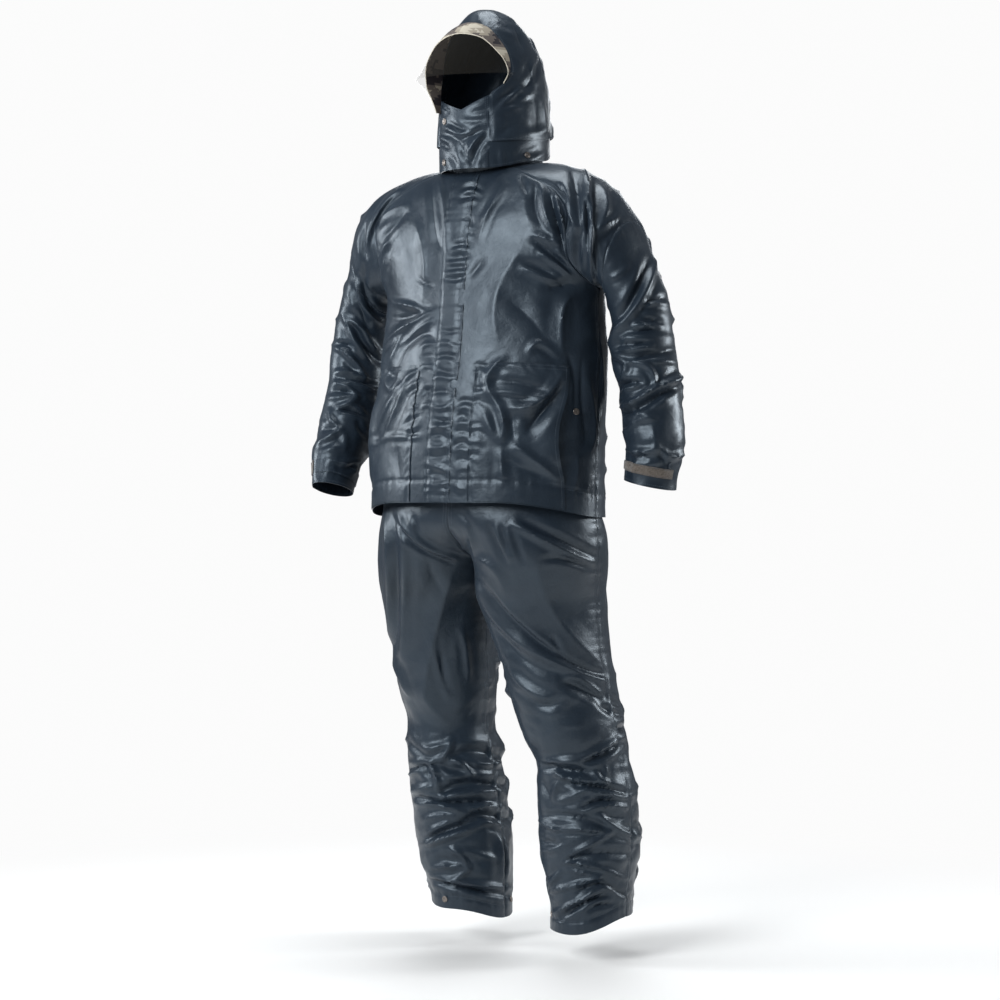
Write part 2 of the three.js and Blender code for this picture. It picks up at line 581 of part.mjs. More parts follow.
// Rows through all the knots, column by column on smooth curves, with so many cells to each span.
function loft(knots, spans) {
  const last = knots.length - 1;
  const reach = [0];
  for (let k = 1; k <= last; k += 1) {
    const steps = knots[k].map((p, j) => p.distanceTo(knots[k - 1][j]));
    reach.push(reach[k - 1] + steps.reduce((a, b) => a + b) / steps.length);
  }
  const between = (k, t, j) => {
    const [before, after] = [max(k - 2, 0), min(k + 1, last)];
    const span = reach[k] - reach[k - 1];
    const value = (axis) => {
      const at = (q) => knots[q][j][axis];
      const leave = ((at(k) - at(before)) / (reach[k] - reach[before])) * span;
      const arrive = ((at(after) - at(k - 1)) / (reach[after] - reach[k - 1])) * span;
      return hermite(at(k - 1), at(k), leave, arrive, t);
    };
    return point(value("x"), value("y"), value("z"));
  };
  const rows = [knots[0]];
  for (let k = 1; k <= last; k += 1)
    for (let cell = 1; cell <= spans[k - 1]; cell += 1)
      rows.push(knots[k].map((unused, j) => between(k, cell / spans[k - 1], j)));
  return rows;
}

const FOLDED_ROWS = { from: 3, toEnd: -2 }; // the armhole and the cuff's end stay plain
const SLEEVE_REACH = 62;
function sleeveSheet(side, front, rings, folds) {
  const loop = armholeLoop(side, front);
  const knots = [loop, ...rings.map((ring) => loop.map((unused, j) => ringPoint(ring, side, j)))];
  const rows = loft(knots, SLEEVE_SPANS);
  for (const line of rows.slice(FOLDED_ROWS.from, FOLDED_ROWS.toEnd)) {
    const centre = point(0, 0, 0);
    for (const p of line.slice(1)) centre.addScaledVector(p, 1 / SLEEVE_COLUMNS);
    line.forEach((p, j) => {
      const out = p.clone().sub(centre).normalize();
      p.addScaledVector(out, foldHeight(folds, sleeveTurn(j), p.z, SLEEVE_REACH));
    });
  }
  return sheetOf(rows.length - 1, SLEEVE_COLUMNS, (i, j) => rows[i][j].clone(), side < 0);
}

const sleeveLeft = sleeveSheet(1, frontLeft, SLEEVE_LEFT, SLEEVE_FOLDS_LEFT);
const sleeveRight = sleeveSheet(-1, frontRight, SLEEVE_RIGHT, SLEEVE_FOLDS_RIGHT);

// Hood ring: a point of the hood's form, with the angle from the face and positive to the left.
function hoodPoint(angle, z, out = 0) {
  const s = rowAt(HOOD, z);
  const a = rad(angle);
  const x = (HOOD_WIDE * s.size + out) * sin(a);
  const y = s.shift - (HOOD_DEEP * s.size + out) * cos(a);
  return fromHood(point(x, y, z));
}

// Between the jacket's axes and the hood's own, which are turned a little.
function fromHood(local) {
  return local.applyAxisAngle(point(0, 0, 1), HOOD_YAW).add(HOOD_CENTRE);
}

const toHood = (p) => p.clone().sub(HOOD_CENTRE).applyAxisAngle(point(0, 0, 1), -HOOD_YAW);

// The hood's form met by a ray from its middle, in the hood's own axes.
const HOOD_MIDDLE = point(0, -8, 120);
function hoodHit(direction) {
  const inside = (p) => {
    const s = rowAt(HOOD, p.z);
    const across = p.x / (HOOD_WIDE * s.size);
    const ahead = (p.y - s.shift) / (HOOD_DEEP * s.size);
    return p.z < HOOD[HOOD.length - 1].z && hypot(across, ahead) < 1;
  };
  let [near, far] = [0, 400];
  for (let step = 0; step < 40; step += 1) {
    const reach = (near + far) / 2;
    if (inside(HOOD_MIDDLE.clone().addScaledVector(direction, reach))) near = reach;
    else far = reach;
  }
  return HOOD_MIDDLE.clone().addScaledVector(direction, near);
}

// Angles of the columns that the mask, the neck strap and the hood share.
const MASK_STEP = 6;
const MASK_EDGE = 36;
const HOOD_BACK = 153; // the side panels end here, at the centre panel's lower end
const SIDE_ANGLES = [MASK_EDGE, 42, 48, 59.5, 71, 83, 95, 106.5, 118, 130, 142, HOOD_BACK];
const NAPE_ANGLES = [166.5, 180];
const HOOD_LOW = 60;
const HOOD_ROWS = [75, 100, 124, 148, 172, 196, 218, 236, 249, 260, 269];
const MASK_TOP_ROW = 3; // the hood's side is sewn to the mask below this row
const TOP_FACE_ROW = 9; // the row where the face opening meets the centre panel

const hoodLow = (angle) => mix(mix(38, 45, ease(angle, 36, 90)), 62, ease(angle, 90, 135));
const strapLow = (angle) => mix(mix(-10, 9, ease(angle, 36, 95)), 30, ease(angle, 95, 150));

// Collar: its foot is the jacket's neckline and its top lies inside the mask and the neck strap.
function neckline() {
  const half = NECK_CELLS / 2;
  const left = frontLeft.points[bodyRows];
  const right = frontRight.points[bodyRows];
  const nape = back.points[bodyRows];
  const over = (sheet, turns) =>
    turns.map((k) => sheet.points[0][(k + SLEEVE_COLUMNS) % SLEEVE_COLUMNS]);
  return [
    ...left.slice(0, -1),
    ...over(sleeveLeft, [half, 1, 0, -1]),
    ...[...nape].reverse().slice(0, -1),
    ...over(sleeveRight, [-half, -1, 0, 1]),
    ...[...right].reverse(),
  ];
}

function collarAngles() {
  const front = [0, 6, 12, 18, 24, 30, 36, 42, 48];
  const side = [71, 95, 118, 142];
  const nape = [148, 154.5, 161, 167.5, 174, 180];
  const left = [...front, ...side, ...nape];
  return [...left, ...left.slice(0, -1).reverse().map((angle) => 360 - angle)];
}

const collarFoot = neckline();
const collarTurns = collarAngles();
const COLLAR_SLACK = { beside: 0.1, elsewhere: 1.6 }; // how far it stands off the mask and the strap
const collar = sheetOf(2, collarFoot.length - 1, (i, j) => {
  if (i === 0) return collarFoot[j].clone();
  const angle = collarTurns[j];
  const away = min(angle, 360 - angle);
  const slack = away > 47 && away < 143 ? COLLAR_SLACK.beside : COLLAR_SLACK.elsewhere;
  const height = mix(COLLAR_TOP, COLLAR_TOP + 12, ease(away, 60, 150));
  const top = hoodPoint(angle, height, -(CLOTH + LAY + slack));
  return i === 2 ? top : collarFoot[j].clone().lerp(top, 0.55);
});

// The mask's top edge dips to a point a little to the left of its middle.
const DIP = { angle: 5, level: 98, sides: 124 };
const MASK_ROWS = 6;
const maskCells = (2 * MASK_EDGE) / MASK_STEP;
const mask = sheetOf(MASK_ROWS, maskCells, (i, j) => {
  const angle = j * MASK_STEP - MASK_EDGE;
  const reach = angle > DIP.angle ? MASK_EDGE - DIP.angle : MASK_EDGE + DIP.angle;
  const top = mix(DIP.level, DIP.sides, Math.abs(angle - DIP.angle) / reach);
  return hoodPoint(angle, mix(MASK_LOW, top, i / MASK_ROWS));
});

const strapAngles = [...SIDE_ANGLES, ...NAPE_ANGLES];
const strapTurns = [...strapAngles, ...strapAngles.slice(0, -1).reverse().map((angle) => 360 - angle)];
const neckStrap = sheetOf(2, strapTurns.length - 1, (i, j) => {
  const angle = strapTurns[j];
  const away = min(angle, 360 - angle);
  const tuck = away < 45 ? -0.6 : 9;
  return hoodPoint(angle, mix(strapLow(away), hoodLow(away) + tuck, i / 2));
});

// Side panel of the hood: rows are level, from the face opening or the front seam to the back seam.
function hoodSide(side) {
  const edge = side > 0 ? "left" : "right";
  const place = (i, j) => {
    const z = i === 0 ? HOOD_LOW : HOOD_ROWS[i - 1];
    const plain = SIDE_ANGLES[j];
    const seam = degrees(asin(min(1, STRIP_HALF / (HOOD_WIDE * rowAt(HOOD, z).size))));
    const face = i <= MASK_TOP_ROW ? MASK_EDGE : rowAt(FACE_EDGE, z)[edge];
    const share = (plain - MASK_EDGE) / (HOOD_BACK - MASK_EDGE);
    const drawn = mix(max(seam, face), 180 - seam, share);
    const angle = mix(plain, drawn, clamp((i - MASK_TOP_ROW + 1) / 2, 0, 1));
    const level = i === 0 ? hoodLow(plain) : z;
    const flare = 6 * ease(drawn, 100, 150) * (1 - ease(level, 62, 120));
    const onStrap = ON * (1 - ease(level, HOOD_LOW, 100)) * ease(drawn, MASK_EDGE, 42);
    return hoodPoint(side * angle, level, flare + onStrap);
  };
  return sheetOf(HOOD_ROWS.length, SIDE_ANGLES.length - 1, place, side < 0);
}

const hoodLeft = hoodSide(1);
const hoodRight = hoodSide(-1);

// The centre panel's edge follows the side panel: up the front, over the crown and down the back.
function stripEdge(sideSheet) {
  const top = HOOD_ROWS.length;
  const last = SIDE_ANGLES.length - 1;
  const edge = [];
  for (let i = TOP_FACE_ROW; i <= top; i += 1) edge.push(sideSheet.points[i][0]);
  for (let j = 1; j <= last; j += 1) edge.push(sideSheet.points[top][j]);
  for (let i = top - 1; i >= 0; i -= 1) edge.push(sideSheet.points[i][last]);
  return edge;
}

const STRIP_CELLS = 4;
const stripLeft = stripEdge(hoodLeft);
const stripRight = stripEdge(hoodRight);
const hoodCentre = sheetOf(
  stripLeft.length - 1,
  STRIP_CELLS,
  (i, j) => {
    const t = j / STRIP_CELLS;
    if (t === 0) return stripLeft[i].clone();
    if (t === 1) return stripRight[i].clone();
    const a = toHood(stripLeft[i]).sub(HOOD_MIDDLE);
    const b = toHood(stripRight[i]).sub(HOOD_MIDDLE);
    const reach = mix(a.length(), b.length(), t);
    const direction = a.normalize().lerp(b.normalize(), t).normalize();
    const flare = max(0, reach - hoodHit(a).sub(HOOD_MIDDLE).length());
    return fromHood(hoodHit(direction).addScaledVector(direction, flare));
  },
  true,
);

// Brim: sewn to the face opening from the left temple over the top to the right cheek.
const BRIM = [
  { z: 0, ahead: 3, drop: 3, aside: 0 },
  { z: 0.16, ahead: 12, drop: 12, aside: 0 },
  { z: 0.33, ahead: 30, drop: 24, aside: 3 },
  { z: 0.5, ahead: 44, drop: 28, aside: 0 },
  { z: 0.66, ahead: 44, drop: 20, aside: -8 },
  { z: 0.82, ahead: 36, drop: 5, aside: -8 },
  { z: 1, ahead: 9, drop: 0, aside: -2 },
];
const VISOR_EDGE = [
  { z: 0, x: 90, y: -52, level: 166 },
  { z: 0.25, x: 70, y: -108, level: 160 },
  { z: 0.5, x: 0, y: -156, level: 157 },
  { z: 0.72, x: -68, y: -148, level: 158 },
  { z: 0.88, x: -94, y: -112, level: 160 },
  { z: 1, x: -99, y: -82, level: 150 },
];

function faceEdge() {
  const left = [5, 6, 7, 8, 9].map((i) => hoodLeft.points[i][0]);
  const crown = [1, 2, 3].map((j) => hoodCentre.points[0][j]);
  const right = [9, 8, 7, 6, 5, 4, 3].map((i) => hoodRight.points[i][0]);
  return [...left, ...crown, ...right];
}

const BRIM_ROWS = 3;
const brimEdge = faceEdge();
const brimPlace = (i, j) => {
  const share = j / (brimEdge.length - 1);
  const lip = rowAt(BRIM, share);
  const t = i / BRIM_ROWS;
  const p = toHood(brimEdge[j]);
  const sag = 3 * sin(PI * t) * sin(PI * share);
  const drop = lip.drop * t * mix(0.6, 1, t);
  return fromHood(point(p.x + lip.aside * t, p.y - lip.ahead * t, p.z - drop + sag));
};
const brim = sheetOf(BRIM_ROWS, brimEdge.length - 1, brimPlace);

const VISOR_ROWS = 4;
const visor = sheetOf(BRIM_ROWS + VISOR_ROWS, brimEdge.length - 1, (i, j) => {
  if (i <= BRIM_ROWS) return brimPlace(i, j);
  const share = j / (brimEdge.length - 1);
  const rim = rowAt(VISOR_EDGE, share);
  const t = (i - BRIM_ROWS) / VISOR_ROWS;
  const lip = toHood(brimPlace(BRIM_ROWS, j));
  const end = point(rim.x, rim.y, rim.level);
  const swell = 5 * sin(PI * t) * sin(PI * share);
  const p = lip.lerp(end, t);
  return fromHood(point(p.x, p.y - swell, p.z));
});

// Trousers: share runs from the inner edge or the seat seam to the outer side.
const LEG_SHARES = {
  front: [0, 0.171, 0.314, 0.453, 0.588, 0.717, 0.859, 1],
  back: [0, 0.167, 0.333, 0.5, 0.667, 0.833, 1],
};

function legPoint(leg, face, share, z) {
  const side = leg === "left" ? 1 : -1;
  if (z >= CROTCH) {
    const s = rowAt(PELVIS, z);
    const middle = s.seam + (s.split * (side * s.side - s.seam)) / 2;
    const wide = s.side - side * middle;
    const start = acos(min(1, (side * (middle - s.seam)) / wide));
    const turn = mix(start, PI, share);
    const deep = face < 0 ? s.front : s.back;
    return point(middle - side * wide * cos(turn), s.y + face * deep * sin(turn), z);
  }
  const s = rowAt(leg === "left" ? LEG_LEFT : LEG_RIGHT, z);
  const turn = PI * share;
  const round = face < 0 ? 180 * share : 360 - 180 * share;
  const folds = leg === "left" ? LEG_FOLDS_LEFT : LEG_FOLDS_RIGHT;
  const firm = ease(z, -1395, -1365) * (1 - ease(z, -800, CROTCH));
  const out = foldHeight(folds, round, z, 100) * firm;
  const depth = (face < 0 ? s.front : s.back) + out;
  return point(s.x - side * (s.wide + out) * cos(turn), s.y + face * depth * sin(turn), z);
}

function legHem(leg, face, share) {
  const hem = leg === "left" ? HEM_LEFT : HEM_RIGHT;
  const turn = PI * share;
  const level = mix(hem.inner, hem.outer, (1 - cos(turn)) / 2);
  return mix(level, face < 0 ? hem.front : hem.back, sin(turn) ** 2);
}

// Where the hips carry the jacket, the trousers take its points, moved in by both walls.
const HIP_LEVELS = [-600, -570];
function hipPoint(leg, face, shares, j, z) {
  const fromSide = shares.length - 1 - j;
  if (!HIP_LEVELS.includes(z) || fromSide > 1) return null;
  const row = BODY_ROWS.indexOf(z) + 1;
  const ahead = leg === "left" ? frontLeft : frontRight;
  const sheet = face < 0 ? ahead : back;
  const fromRight = face > 0 && leg === "right";
  const column = fromRight ? fromSide : sheet.points[row].length - 1 - fromSide;
  return sheet.points[row][column].clone().addScaledVector(sheet.normals[row][column], -ON);
}

const legLevels = [null, ...LEG_ROWS, CROTCH, ...PELVIS_ROWS];
function legSheet(leg, face) {
  const shares = face < 0 ? LEG_SHARES.front : LEG_SHARES.back;
  const turned = (leg === "left") === face > 0;
  const place = (i, j) => {
    const share = shares[j];
    const z = i === 0 ? legHem(leg, face, share) : legLevels[i];
    return hipPoint(leg, face, shares, j, z) ?? legPoint(leg, face, share, z);
  };
  return sheetOf(legLevels.length - 1, shares.length - 1, place, turned);
}

sew([frontLeft, frontRight, back, sleeveLeft, sleeveRight, collar]);
const legs = {
  left: { front: legSheet("left", -1), back: legSheet("left", 1) },
  right: { front: legSheet("right", -1), back: legSheet("right", 1) },
};
sew([legs.left.front, legs.left.back, legs.right.front, legs.right.back]);
sew([mask, neckStrap, hoodLeft, hoodRight, hoodCentre, brim]);

const all = { low: SEAM, high: SEAM, left: SEAM, right: SEAM };
add("front_left", wallOf(trimmed(frontLeft, { high: SEAM, left: SEAM, right: SEAM })));
add("front_right", wallOf(trimmed(frontRight, { high: SEAM, left: SEAM, right: SEAM })));
add("back", wallOf(trimmed(back, { high: SEAM, left: SEAM, right: SEAM })));

const piecingRow = SLEEVE_SPANS.slice(0, PIECING_RING).reduce((a, b) => a + b);
const sleeveRows = sleeveLeft.points.length - 1;
for (const [side, sheet] of [["left", sleeveLeft], ["right", sleeveRight]]) {
  const upper = patch(sheet, 0, piecingRow, 0, SLEEVE_COLUMNS);
  const lower = patch(sheet, piecingRow, sleeveRows, 0, SLEEVE_COLUMNS);
  add(`sleeve_${side}_upper`, wallOf(trimmed(upper, { low: SEAM, high: SEAM })));
  add(`sleeve_${side}_lower`, wallOf(trimmed(lower, { low: SEAM })));
}

add("collar", wallOf(trimmed(collar, { low: 0.8, left: SEAM, right: SEAM })));
add("mask", wallOf(trimmed(mask, { high: 0, left: SEAM, right: SEAM })));
add("neck_strap", wallOf(trimmed(neckStrap, { left: SEAM, right: SEAM })));
add("hood_left", wallOf(trimmed(hoodLeft, all)));
add("hood_right", wallOf(trimmed(hoodRight, all)));
add("hood_centre", wallOf(trimmed(hoodCentre, all)));
add("brim", wallOf(trimmed(brim, { low: SEAM })), CAMOUFLAGE);
visor.normals.splice(0, BRIM_ROWS + 1, ...brim.normals);
const visorLift = (i) => CLOTH / 2 + LAY + VINYL / 2 + (i === BRIM_ROWS ? 0.6 : 0);
add("visor", wallOf(trimmed(visor, { low: 1, left: 1.5, right: 0.6 }), VINYL, visorLift), CLEAR);

for (const leg of ["left", "right"])
  for (const face of ["front", "back"])
    add(`leg_${leg}_${face}`, wallOf(trimmed(legs[leg][face], { high: SEAM, left: 0.4, right: SEAM })));

// Waistband: the trousers' top row carried on upwards, drawn in a little by its elastic.
const topRow = (sheet) => sheet.points[legLevels.length - 1];
const waistRow = [
  ...topRow(legs.left.front).slice(0, -1),
  ...[...topRow(legs.left.back)].reverse().slice(0, -1),
  ...topRow(legs.right.back).slice(0, -1),
  ...[...topRow(legs.right.front)].reverse(),
];
const waistband = sheetOf(2, waistRow.length - 1, (i, j) => {
  const p = waistRow[j].clone();
  const draw = 1 - 0.012 * i * i;
  return point(p.x * draw, p.y * draw, p.z + (WAISTBAND * i) / 2);
});
add("waistband", wallOf(trimmed(waistband, { low: 2 * SEAM }), 1.5 * CLOTH));

// Storm flap over the zip: the columns of both fronts on each side of the centre line.
const flap = {
  points: frontLeft.points.map((row, i) => [frontRight.points[i][1], row[0], row[1]]),
  normals: frontLeft.normals.map((row, i) => [frontRight.normals[i][1], row[0], row[1]]),
};
add("storm_flap", wallOf(trimmed(flap, { low: 2, high: 2 }), CLOTH, ON));

// Patch pockets: the side edge stands off the front where the hand goes in.
const pocketRows = { from: 0, to: BODY_ROWS.indexOf(POCKET_TOP) + 1 };
const pocketColumns = { inner: 2, outer: 6 };
const pocketCells = pocketColumns.outer - pocketColumns.inner;
const MOUTH = { low: -572, high: -430, stand: 11 };
for (const [side, sheet] of [["left", frontLeft], ["right", frontRight]]) {
  const piece = patch(sheet, pocketRows.from, pocketRows.to, pocketColumns.inner, pocketColumns.outer);
  const lift = (i, j) => {
    const z = piece.points[i][j].z;
    const open = sin(PI * clamp((z - MOUTH.low) / (MOUTH.high - MOUTH.low), 0, 1));
    const near = ease(j, pocketCells - 1.5, pocketCells);
    return ON + MOUTH.stand * open * near;
  };
  add(`pocket_${side}`, wallOf(trimmed(piece, { low: 1 }), CLOTH, lift));
}

// A point and its normal anywhere on a sheet, by fractions of its rows and columns.
function onSheet(sheet, row, column) {
  const i = min(Math.floor(row), sheet.points.length - 2);
  const j = min(Math.floor(column), sheet.points[0].length - 2);
  const blend = (grid) => {
    const low = grid[i][j].clone().lerp(grid[i][j + 1], column - j);
    return low.lerp(grid[i + 1][j].clone().lerp(grid[i + 1][j + 1], column - j), row - i);
  };
  return { p: blend(sheet.points), n: blend(sheet.normals).normalize() };
}

// A strip on a sheet between fractional rows and columns, with the sheet's own columns inside it.
function stripOn(sheet, rows, columns) {
  const inside = [];
  for (let k = Math.floor(columns[0]) + 1; k < columns[1]; k += 1) inside.push(k);
  const stops = [columns[0], ...inside, columns[1]];
  const wrap = (c) => (c + SLEEVE_COLUMNS) % SLEEVE_COLUMNS;
  const spots = rows.map((row) => stops.map((c) => onSheet(sheet, row, wrap(c))));
  const points = spots.map((line) => line.map((spot) => spot.p));
  const normals = spots.map((line) => line.map((spot) => spot.n));
  return { points, normals };
}

// Cuffs: a band of hook-and-loop tape across the front, and the strap that closes over it.
const CUFFS = [
  { side: "left", sheet: sleeveLeft, tape: [0.6, 8.6], strap: [8.9, 15.5] },
  { side: "right", sheet: sleeveRight, tape: [-1.5, 5], strap: [5.4, 13] },
];
for (const { side, sheet, tape, strap } of CUFFS) {
  const rows = [sleeveRows - 1.9, sleeveRows - 1];
  add(`cuff_tape_${side}`, wallOf(stripOn(sheet, rows, tape), CLOTH, ON), TAPE);
  add(`cuff_strap_${side}`, wallOf(stripOn(sheet, rows, strap), CLOTH, ON));
}
const keeper = stripOn(sleeveLeft, [sleeveRows - 2.5, sleeveRows - 2], [1.2, 1.6]);
add("keeper_left", wallOf(keeper, CLOTH, ON));

// Snap fasteners: a low round cap with its face turned along the cloth's normal.
function snap(name, { p, n }, layers = 0) {
  const cap = new THREE.CylinderGeometry(SNAP_RADIUS * 0.8, SNAP_RADIUS, SNAP_HIGH, 16);
  const mesh = add(name, cap, BRASS);
  mesh.quaternion.setFromUnitVectors(point(0, 1, 0), n);
  mesh.position.copy(p).addScaledVector(n, CLOTH / 2 + layers * ON + LAY + SNAP_HIGH / 2);
}
snap("snap_mask_upper", onSheet(mask, 4.4, 2.4));
snap("snap_mask_lower", onSheet(mask, 0.75, 2.4));
snap("snap_strap_left", onSheet(neckStrap, 0.5, 4.5));
snap("snap_strap_right", onSheet(neckStrap, 0.5, strapTurns.length - 5.5));
snap("snap_leg_left_front", onSheet(legs.left.front, 0.6, 1.5), 0.15);
snap("snap_leg_left_back", onSheet(legs.left.back, 0.6, 0.5), 0.15);
snap("snap_leg_right_front", onSheet(legs.right.front, 0.6, 3.5), 0.15);
snap("snap_leg_right_back", onSheet(legs.right.back, 0.6, 0.5), 0.15);
for (const [side, sheet] of [["left", frontLeft], ["right", frontRight]])
  snap(`snap_pocket_${side}`, onSheet(sheet, 5.6, 6.5));

export default suit;
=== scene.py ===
import math

import bpy
import numpy as np
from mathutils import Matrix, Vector


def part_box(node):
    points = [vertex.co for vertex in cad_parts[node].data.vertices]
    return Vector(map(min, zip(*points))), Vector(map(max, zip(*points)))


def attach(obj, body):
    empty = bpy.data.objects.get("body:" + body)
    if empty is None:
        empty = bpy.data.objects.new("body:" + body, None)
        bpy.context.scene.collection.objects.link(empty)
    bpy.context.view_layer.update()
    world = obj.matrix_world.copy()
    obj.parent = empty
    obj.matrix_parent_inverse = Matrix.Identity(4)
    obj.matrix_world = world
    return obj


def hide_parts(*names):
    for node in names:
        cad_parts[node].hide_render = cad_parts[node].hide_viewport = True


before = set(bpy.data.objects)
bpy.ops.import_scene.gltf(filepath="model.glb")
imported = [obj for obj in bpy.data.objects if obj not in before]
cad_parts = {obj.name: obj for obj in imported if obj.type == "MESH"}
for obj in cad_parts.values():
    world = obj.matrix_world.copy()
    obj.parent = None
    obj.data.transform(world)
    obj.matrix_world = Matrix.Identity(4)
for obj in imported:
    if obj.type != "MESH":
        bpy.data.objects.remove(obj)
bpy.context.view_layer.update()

# The cloth is drawn in millimetres on the solids' own form, then made in metres.
MM = 0.001
GRID = 3.9  # spacing of the cloth's grid
WALL = 0.7  # thickness of the shown cloth
ON = 1.7  # from one layer of cloth to the next

# The photograph's camera: a level gaze from 33 degrees to the wearer's left of the front.
PHOTO = {"focal": 2383.0, "aside": 13.2, "level": -623.0, "away": 4500.0, "turn": 33.0, "middle": 500}
SIDES = {1: "left", -1: "right"}


class Table:
    """Rows of named columns, read at any place of the first column by cubic spans."""

    def __init__(self, names, rows):
        data = np.array(rows, float)
        self.place = data[:, 0]
        self.columns = dict(zip(names.split(), data.T))

    def at(self, name, place):
        z, values = self.place, self.columns[name]
        p = np.clip(np.asarray(place, float), z[0], z[-1])
        i = np.clip(np.searchsorted(z, p, side="left") - 1, 0, len(z) - 2)
        before, after = np.maximum(i - 1, 0), np.minimum(i + 2, len(z) - 1)
        span = z[i + 1] - z[i]
        t = (p - z[i]) / span
        leave = (values[i + 1] - values[before]) / (z[i + 1] - z[before]) * span
        arrive = (values[after] - values[i]) / (z[after] - z[i]) * span
        return hermite(values[i], values[i + 1], leave, arrive, t)


def hermite(a, b, leave, arrive, t):
    return a + (b - a) * t * t * (3 - 2 * t) + leave * t * (1 - t) ** 2 - arrive * t * t * (1 - t)


def ease(x, low, high):
    t = np.clip((np.asarray(x, float) - low) / (high - low), 0, 1)
    return t * t * (3 - 2 * t)


def mix(a, b, t):
    return a + (b - a) * t


TORSO = Table("z x y wide front back", [
    (-665, 0, -19, 238, 170, 165), (-576, 0, -19, 237, 168, 165), (-470, 3, -17, 236, 164, 163),
    (-350, 7, -10, 233, 152, 155), (-235, 3, 2, 228, 145, 140), (-200, 2, 4, 246, 141, 134),
    (-150, 0, 5, 280, 134, 126), (-110, 0, 5, 296, 127, 119), (-85, 0, 5, 284, 120, 114),
    (-55, 0, 5, 258, 110, 107), (-30, 0, 5, 226, 98, 100), (-15, 0, 5, 194, 86, 95),
    (-5, 0, 5, 150, 72, 91), (5, 0, 5, 112, 55, 85), (12, 0, 5, 88, 40, 78),
])
ARMHOLE_FRONT = Table("z angle", [
    (-235, 90), (-215, 70), (-190, 57), (-150, 49), (-110, 46.5), (-85, 46), (-55, 43), (-30, 35),
    (-15, 30), (-5, 26),
])
ARMHOLE_BACK = Table("z angle", [
    (-235, 90), (-215, 70), (-190, 56), (-150, 49), (-110, 46), (-85, 45), (-55, 42), (-30, 37),
    (-10, 34), (6, 32),
])
# Height of each row of the yoke at the centre line and at the armhole, from the armpit up.
YOKE_FRONT = Table("row centre edge", [
    (0, -235, -235), (1, -206, -208), (2, -176, -175), (3, -146, -140), (4, -116, -108),
    (5, -88, -80), (6, -62, -52), (7, -38, -26), (8, -15, -5),
])
YOKE_BACK = Table("row centre edge", [
    (0, -235, -235), (1, -205, -208), (2, -173, -175), (3, -141, -140), (4, -110, -108),
    (5, -80, -80), (6, -50, -50), (7, -20, -20), (8, 10, 6),
])
YOKE_ROWS = 8
HEM_FRONT, HEM_BACK, ARMPIT = -628, -655, -235
PLACKET_HALF, POCKET_TOP = 27.5, -374
POCKET_SHARES = (0.105, 0.694)

SLEEVE_COLUMNS = "ring top_x top_z low_x low_z y deep bow lean"
SLEEVES = {
    "left": Table(SLEEVE_COLUMNS, [
        (1, 150, -1, 243, -233, 4, 89, 40, 0), (2, 212, -22, 248, -237, 8, 87, 27, 0),
        (3, 258, -58, 250, -244, 13, 80, 12, 0), (4, 294, -112, 252, -258, 19, 75, 5, 0),
        (5, 320, -178, 252, -274, 25, 70, 2, 0), (6, 352, -258, 251, -298, 28, 65, 0, 0),
        (7, 370, -352, 256, -372, 26, 65, 0, 4), (8, 384, -428, 276, -448, 20, 60, 0, 5),
        (9, 396, -508, 288, -508, 14, 59, 0, 4), (10, 391, -548, 292, -532, 12, 55, 0, 2),
        (11, 382, -586, 288, -564, 12, 50, 0, 0), (12, 380, -606, 286, -584, 12, 50, 0, 0),
    ]),
    "right": Table(SLEEVE_COLUMNS, [
        (1, 152, 1, 241, -233, 4, 89, 42, 0), (2, 219, -19, 247, -237, 8, 87, 26, 0),
        (3, 280, -58, 252, -244, 13, 80, 10, 0), (4, 309, -114, 256, -260, 19, 75, 2, 0),
        (5, 337, -176, 259, -278, 25, 70, 0, 0), (6, 364, -262, 265, -304, 25, 65, 0, 4),
        (7, 377, -344, 275, -356, 17, 64, 0, 10), (8, 373, -412, 271, -408, 0, 61, 0, 20),
        (9, 376, -484, 268, -478, -28, 58, 0, 24), (10, 370, -540, 274, -534, -56, 55, 0, 24),
        (11, 352, -587, 280, -582, -79, 51, 0, 18), (12, 348, -605, 278, -600, -87, 50, 0, 16),
    ]),
}
SLEEVE_TURNS = [0, 15, 30, 40, 52, 68, 86, 105, 125, 150, 180]
PIECING_RING, LAST_RING = 4, 12
NECK_SUMMIT = (84, 3, 7)

LEG_COLUMNS = "z x y wide front back"
LEGS = {
    "left": Table(LEG_COLUMNS, [
        (-1430, 188, 46, 73, 82, 82), (-1372, 186, 50, 75, 84, 83), (-1277, 177, 60, 89, 98, 98),
        (-1179, 171, 62, 91, 100, 99), (-1112, 163, 60, 86, 95, 94), (-1060, 146, 55, 95, 105, 103),
        (-994, 128, 50, 100, 112, 110), (-901, 111, 40, 103, 117, 114), (-808, 92, 28, 118, 134, 128),
        (-770, 98, 16, 120, 142, 132), (-736, 108, 6, 120, 147, 136),
    ]),
    "right": Table(LEG_COLUMNS, [
        (-1440, -102, 86, 74, 84, 82), (-1376, -106, 86, 77, 86, 84), (-1307, -117, 86, 88, 98, 96),
        (-1208, -131, 85, 90, 101, 98), (-1110, -143, 80, 88, 99, 97), (-1050, -147, 76, 82, 92, 91),
        (-992, -149, 70, 93, 105, 103), (-901, -150, 56, 98, 112, 108), (-810, -147, 38, 106, 124, 118),
        (-770, -135, 20, 110, 138, 128), (-736, -122, 6, 110, 147, 136),
    ]),
}
CROTCH, WAIST, WAISTBAND = -736, -470, 36
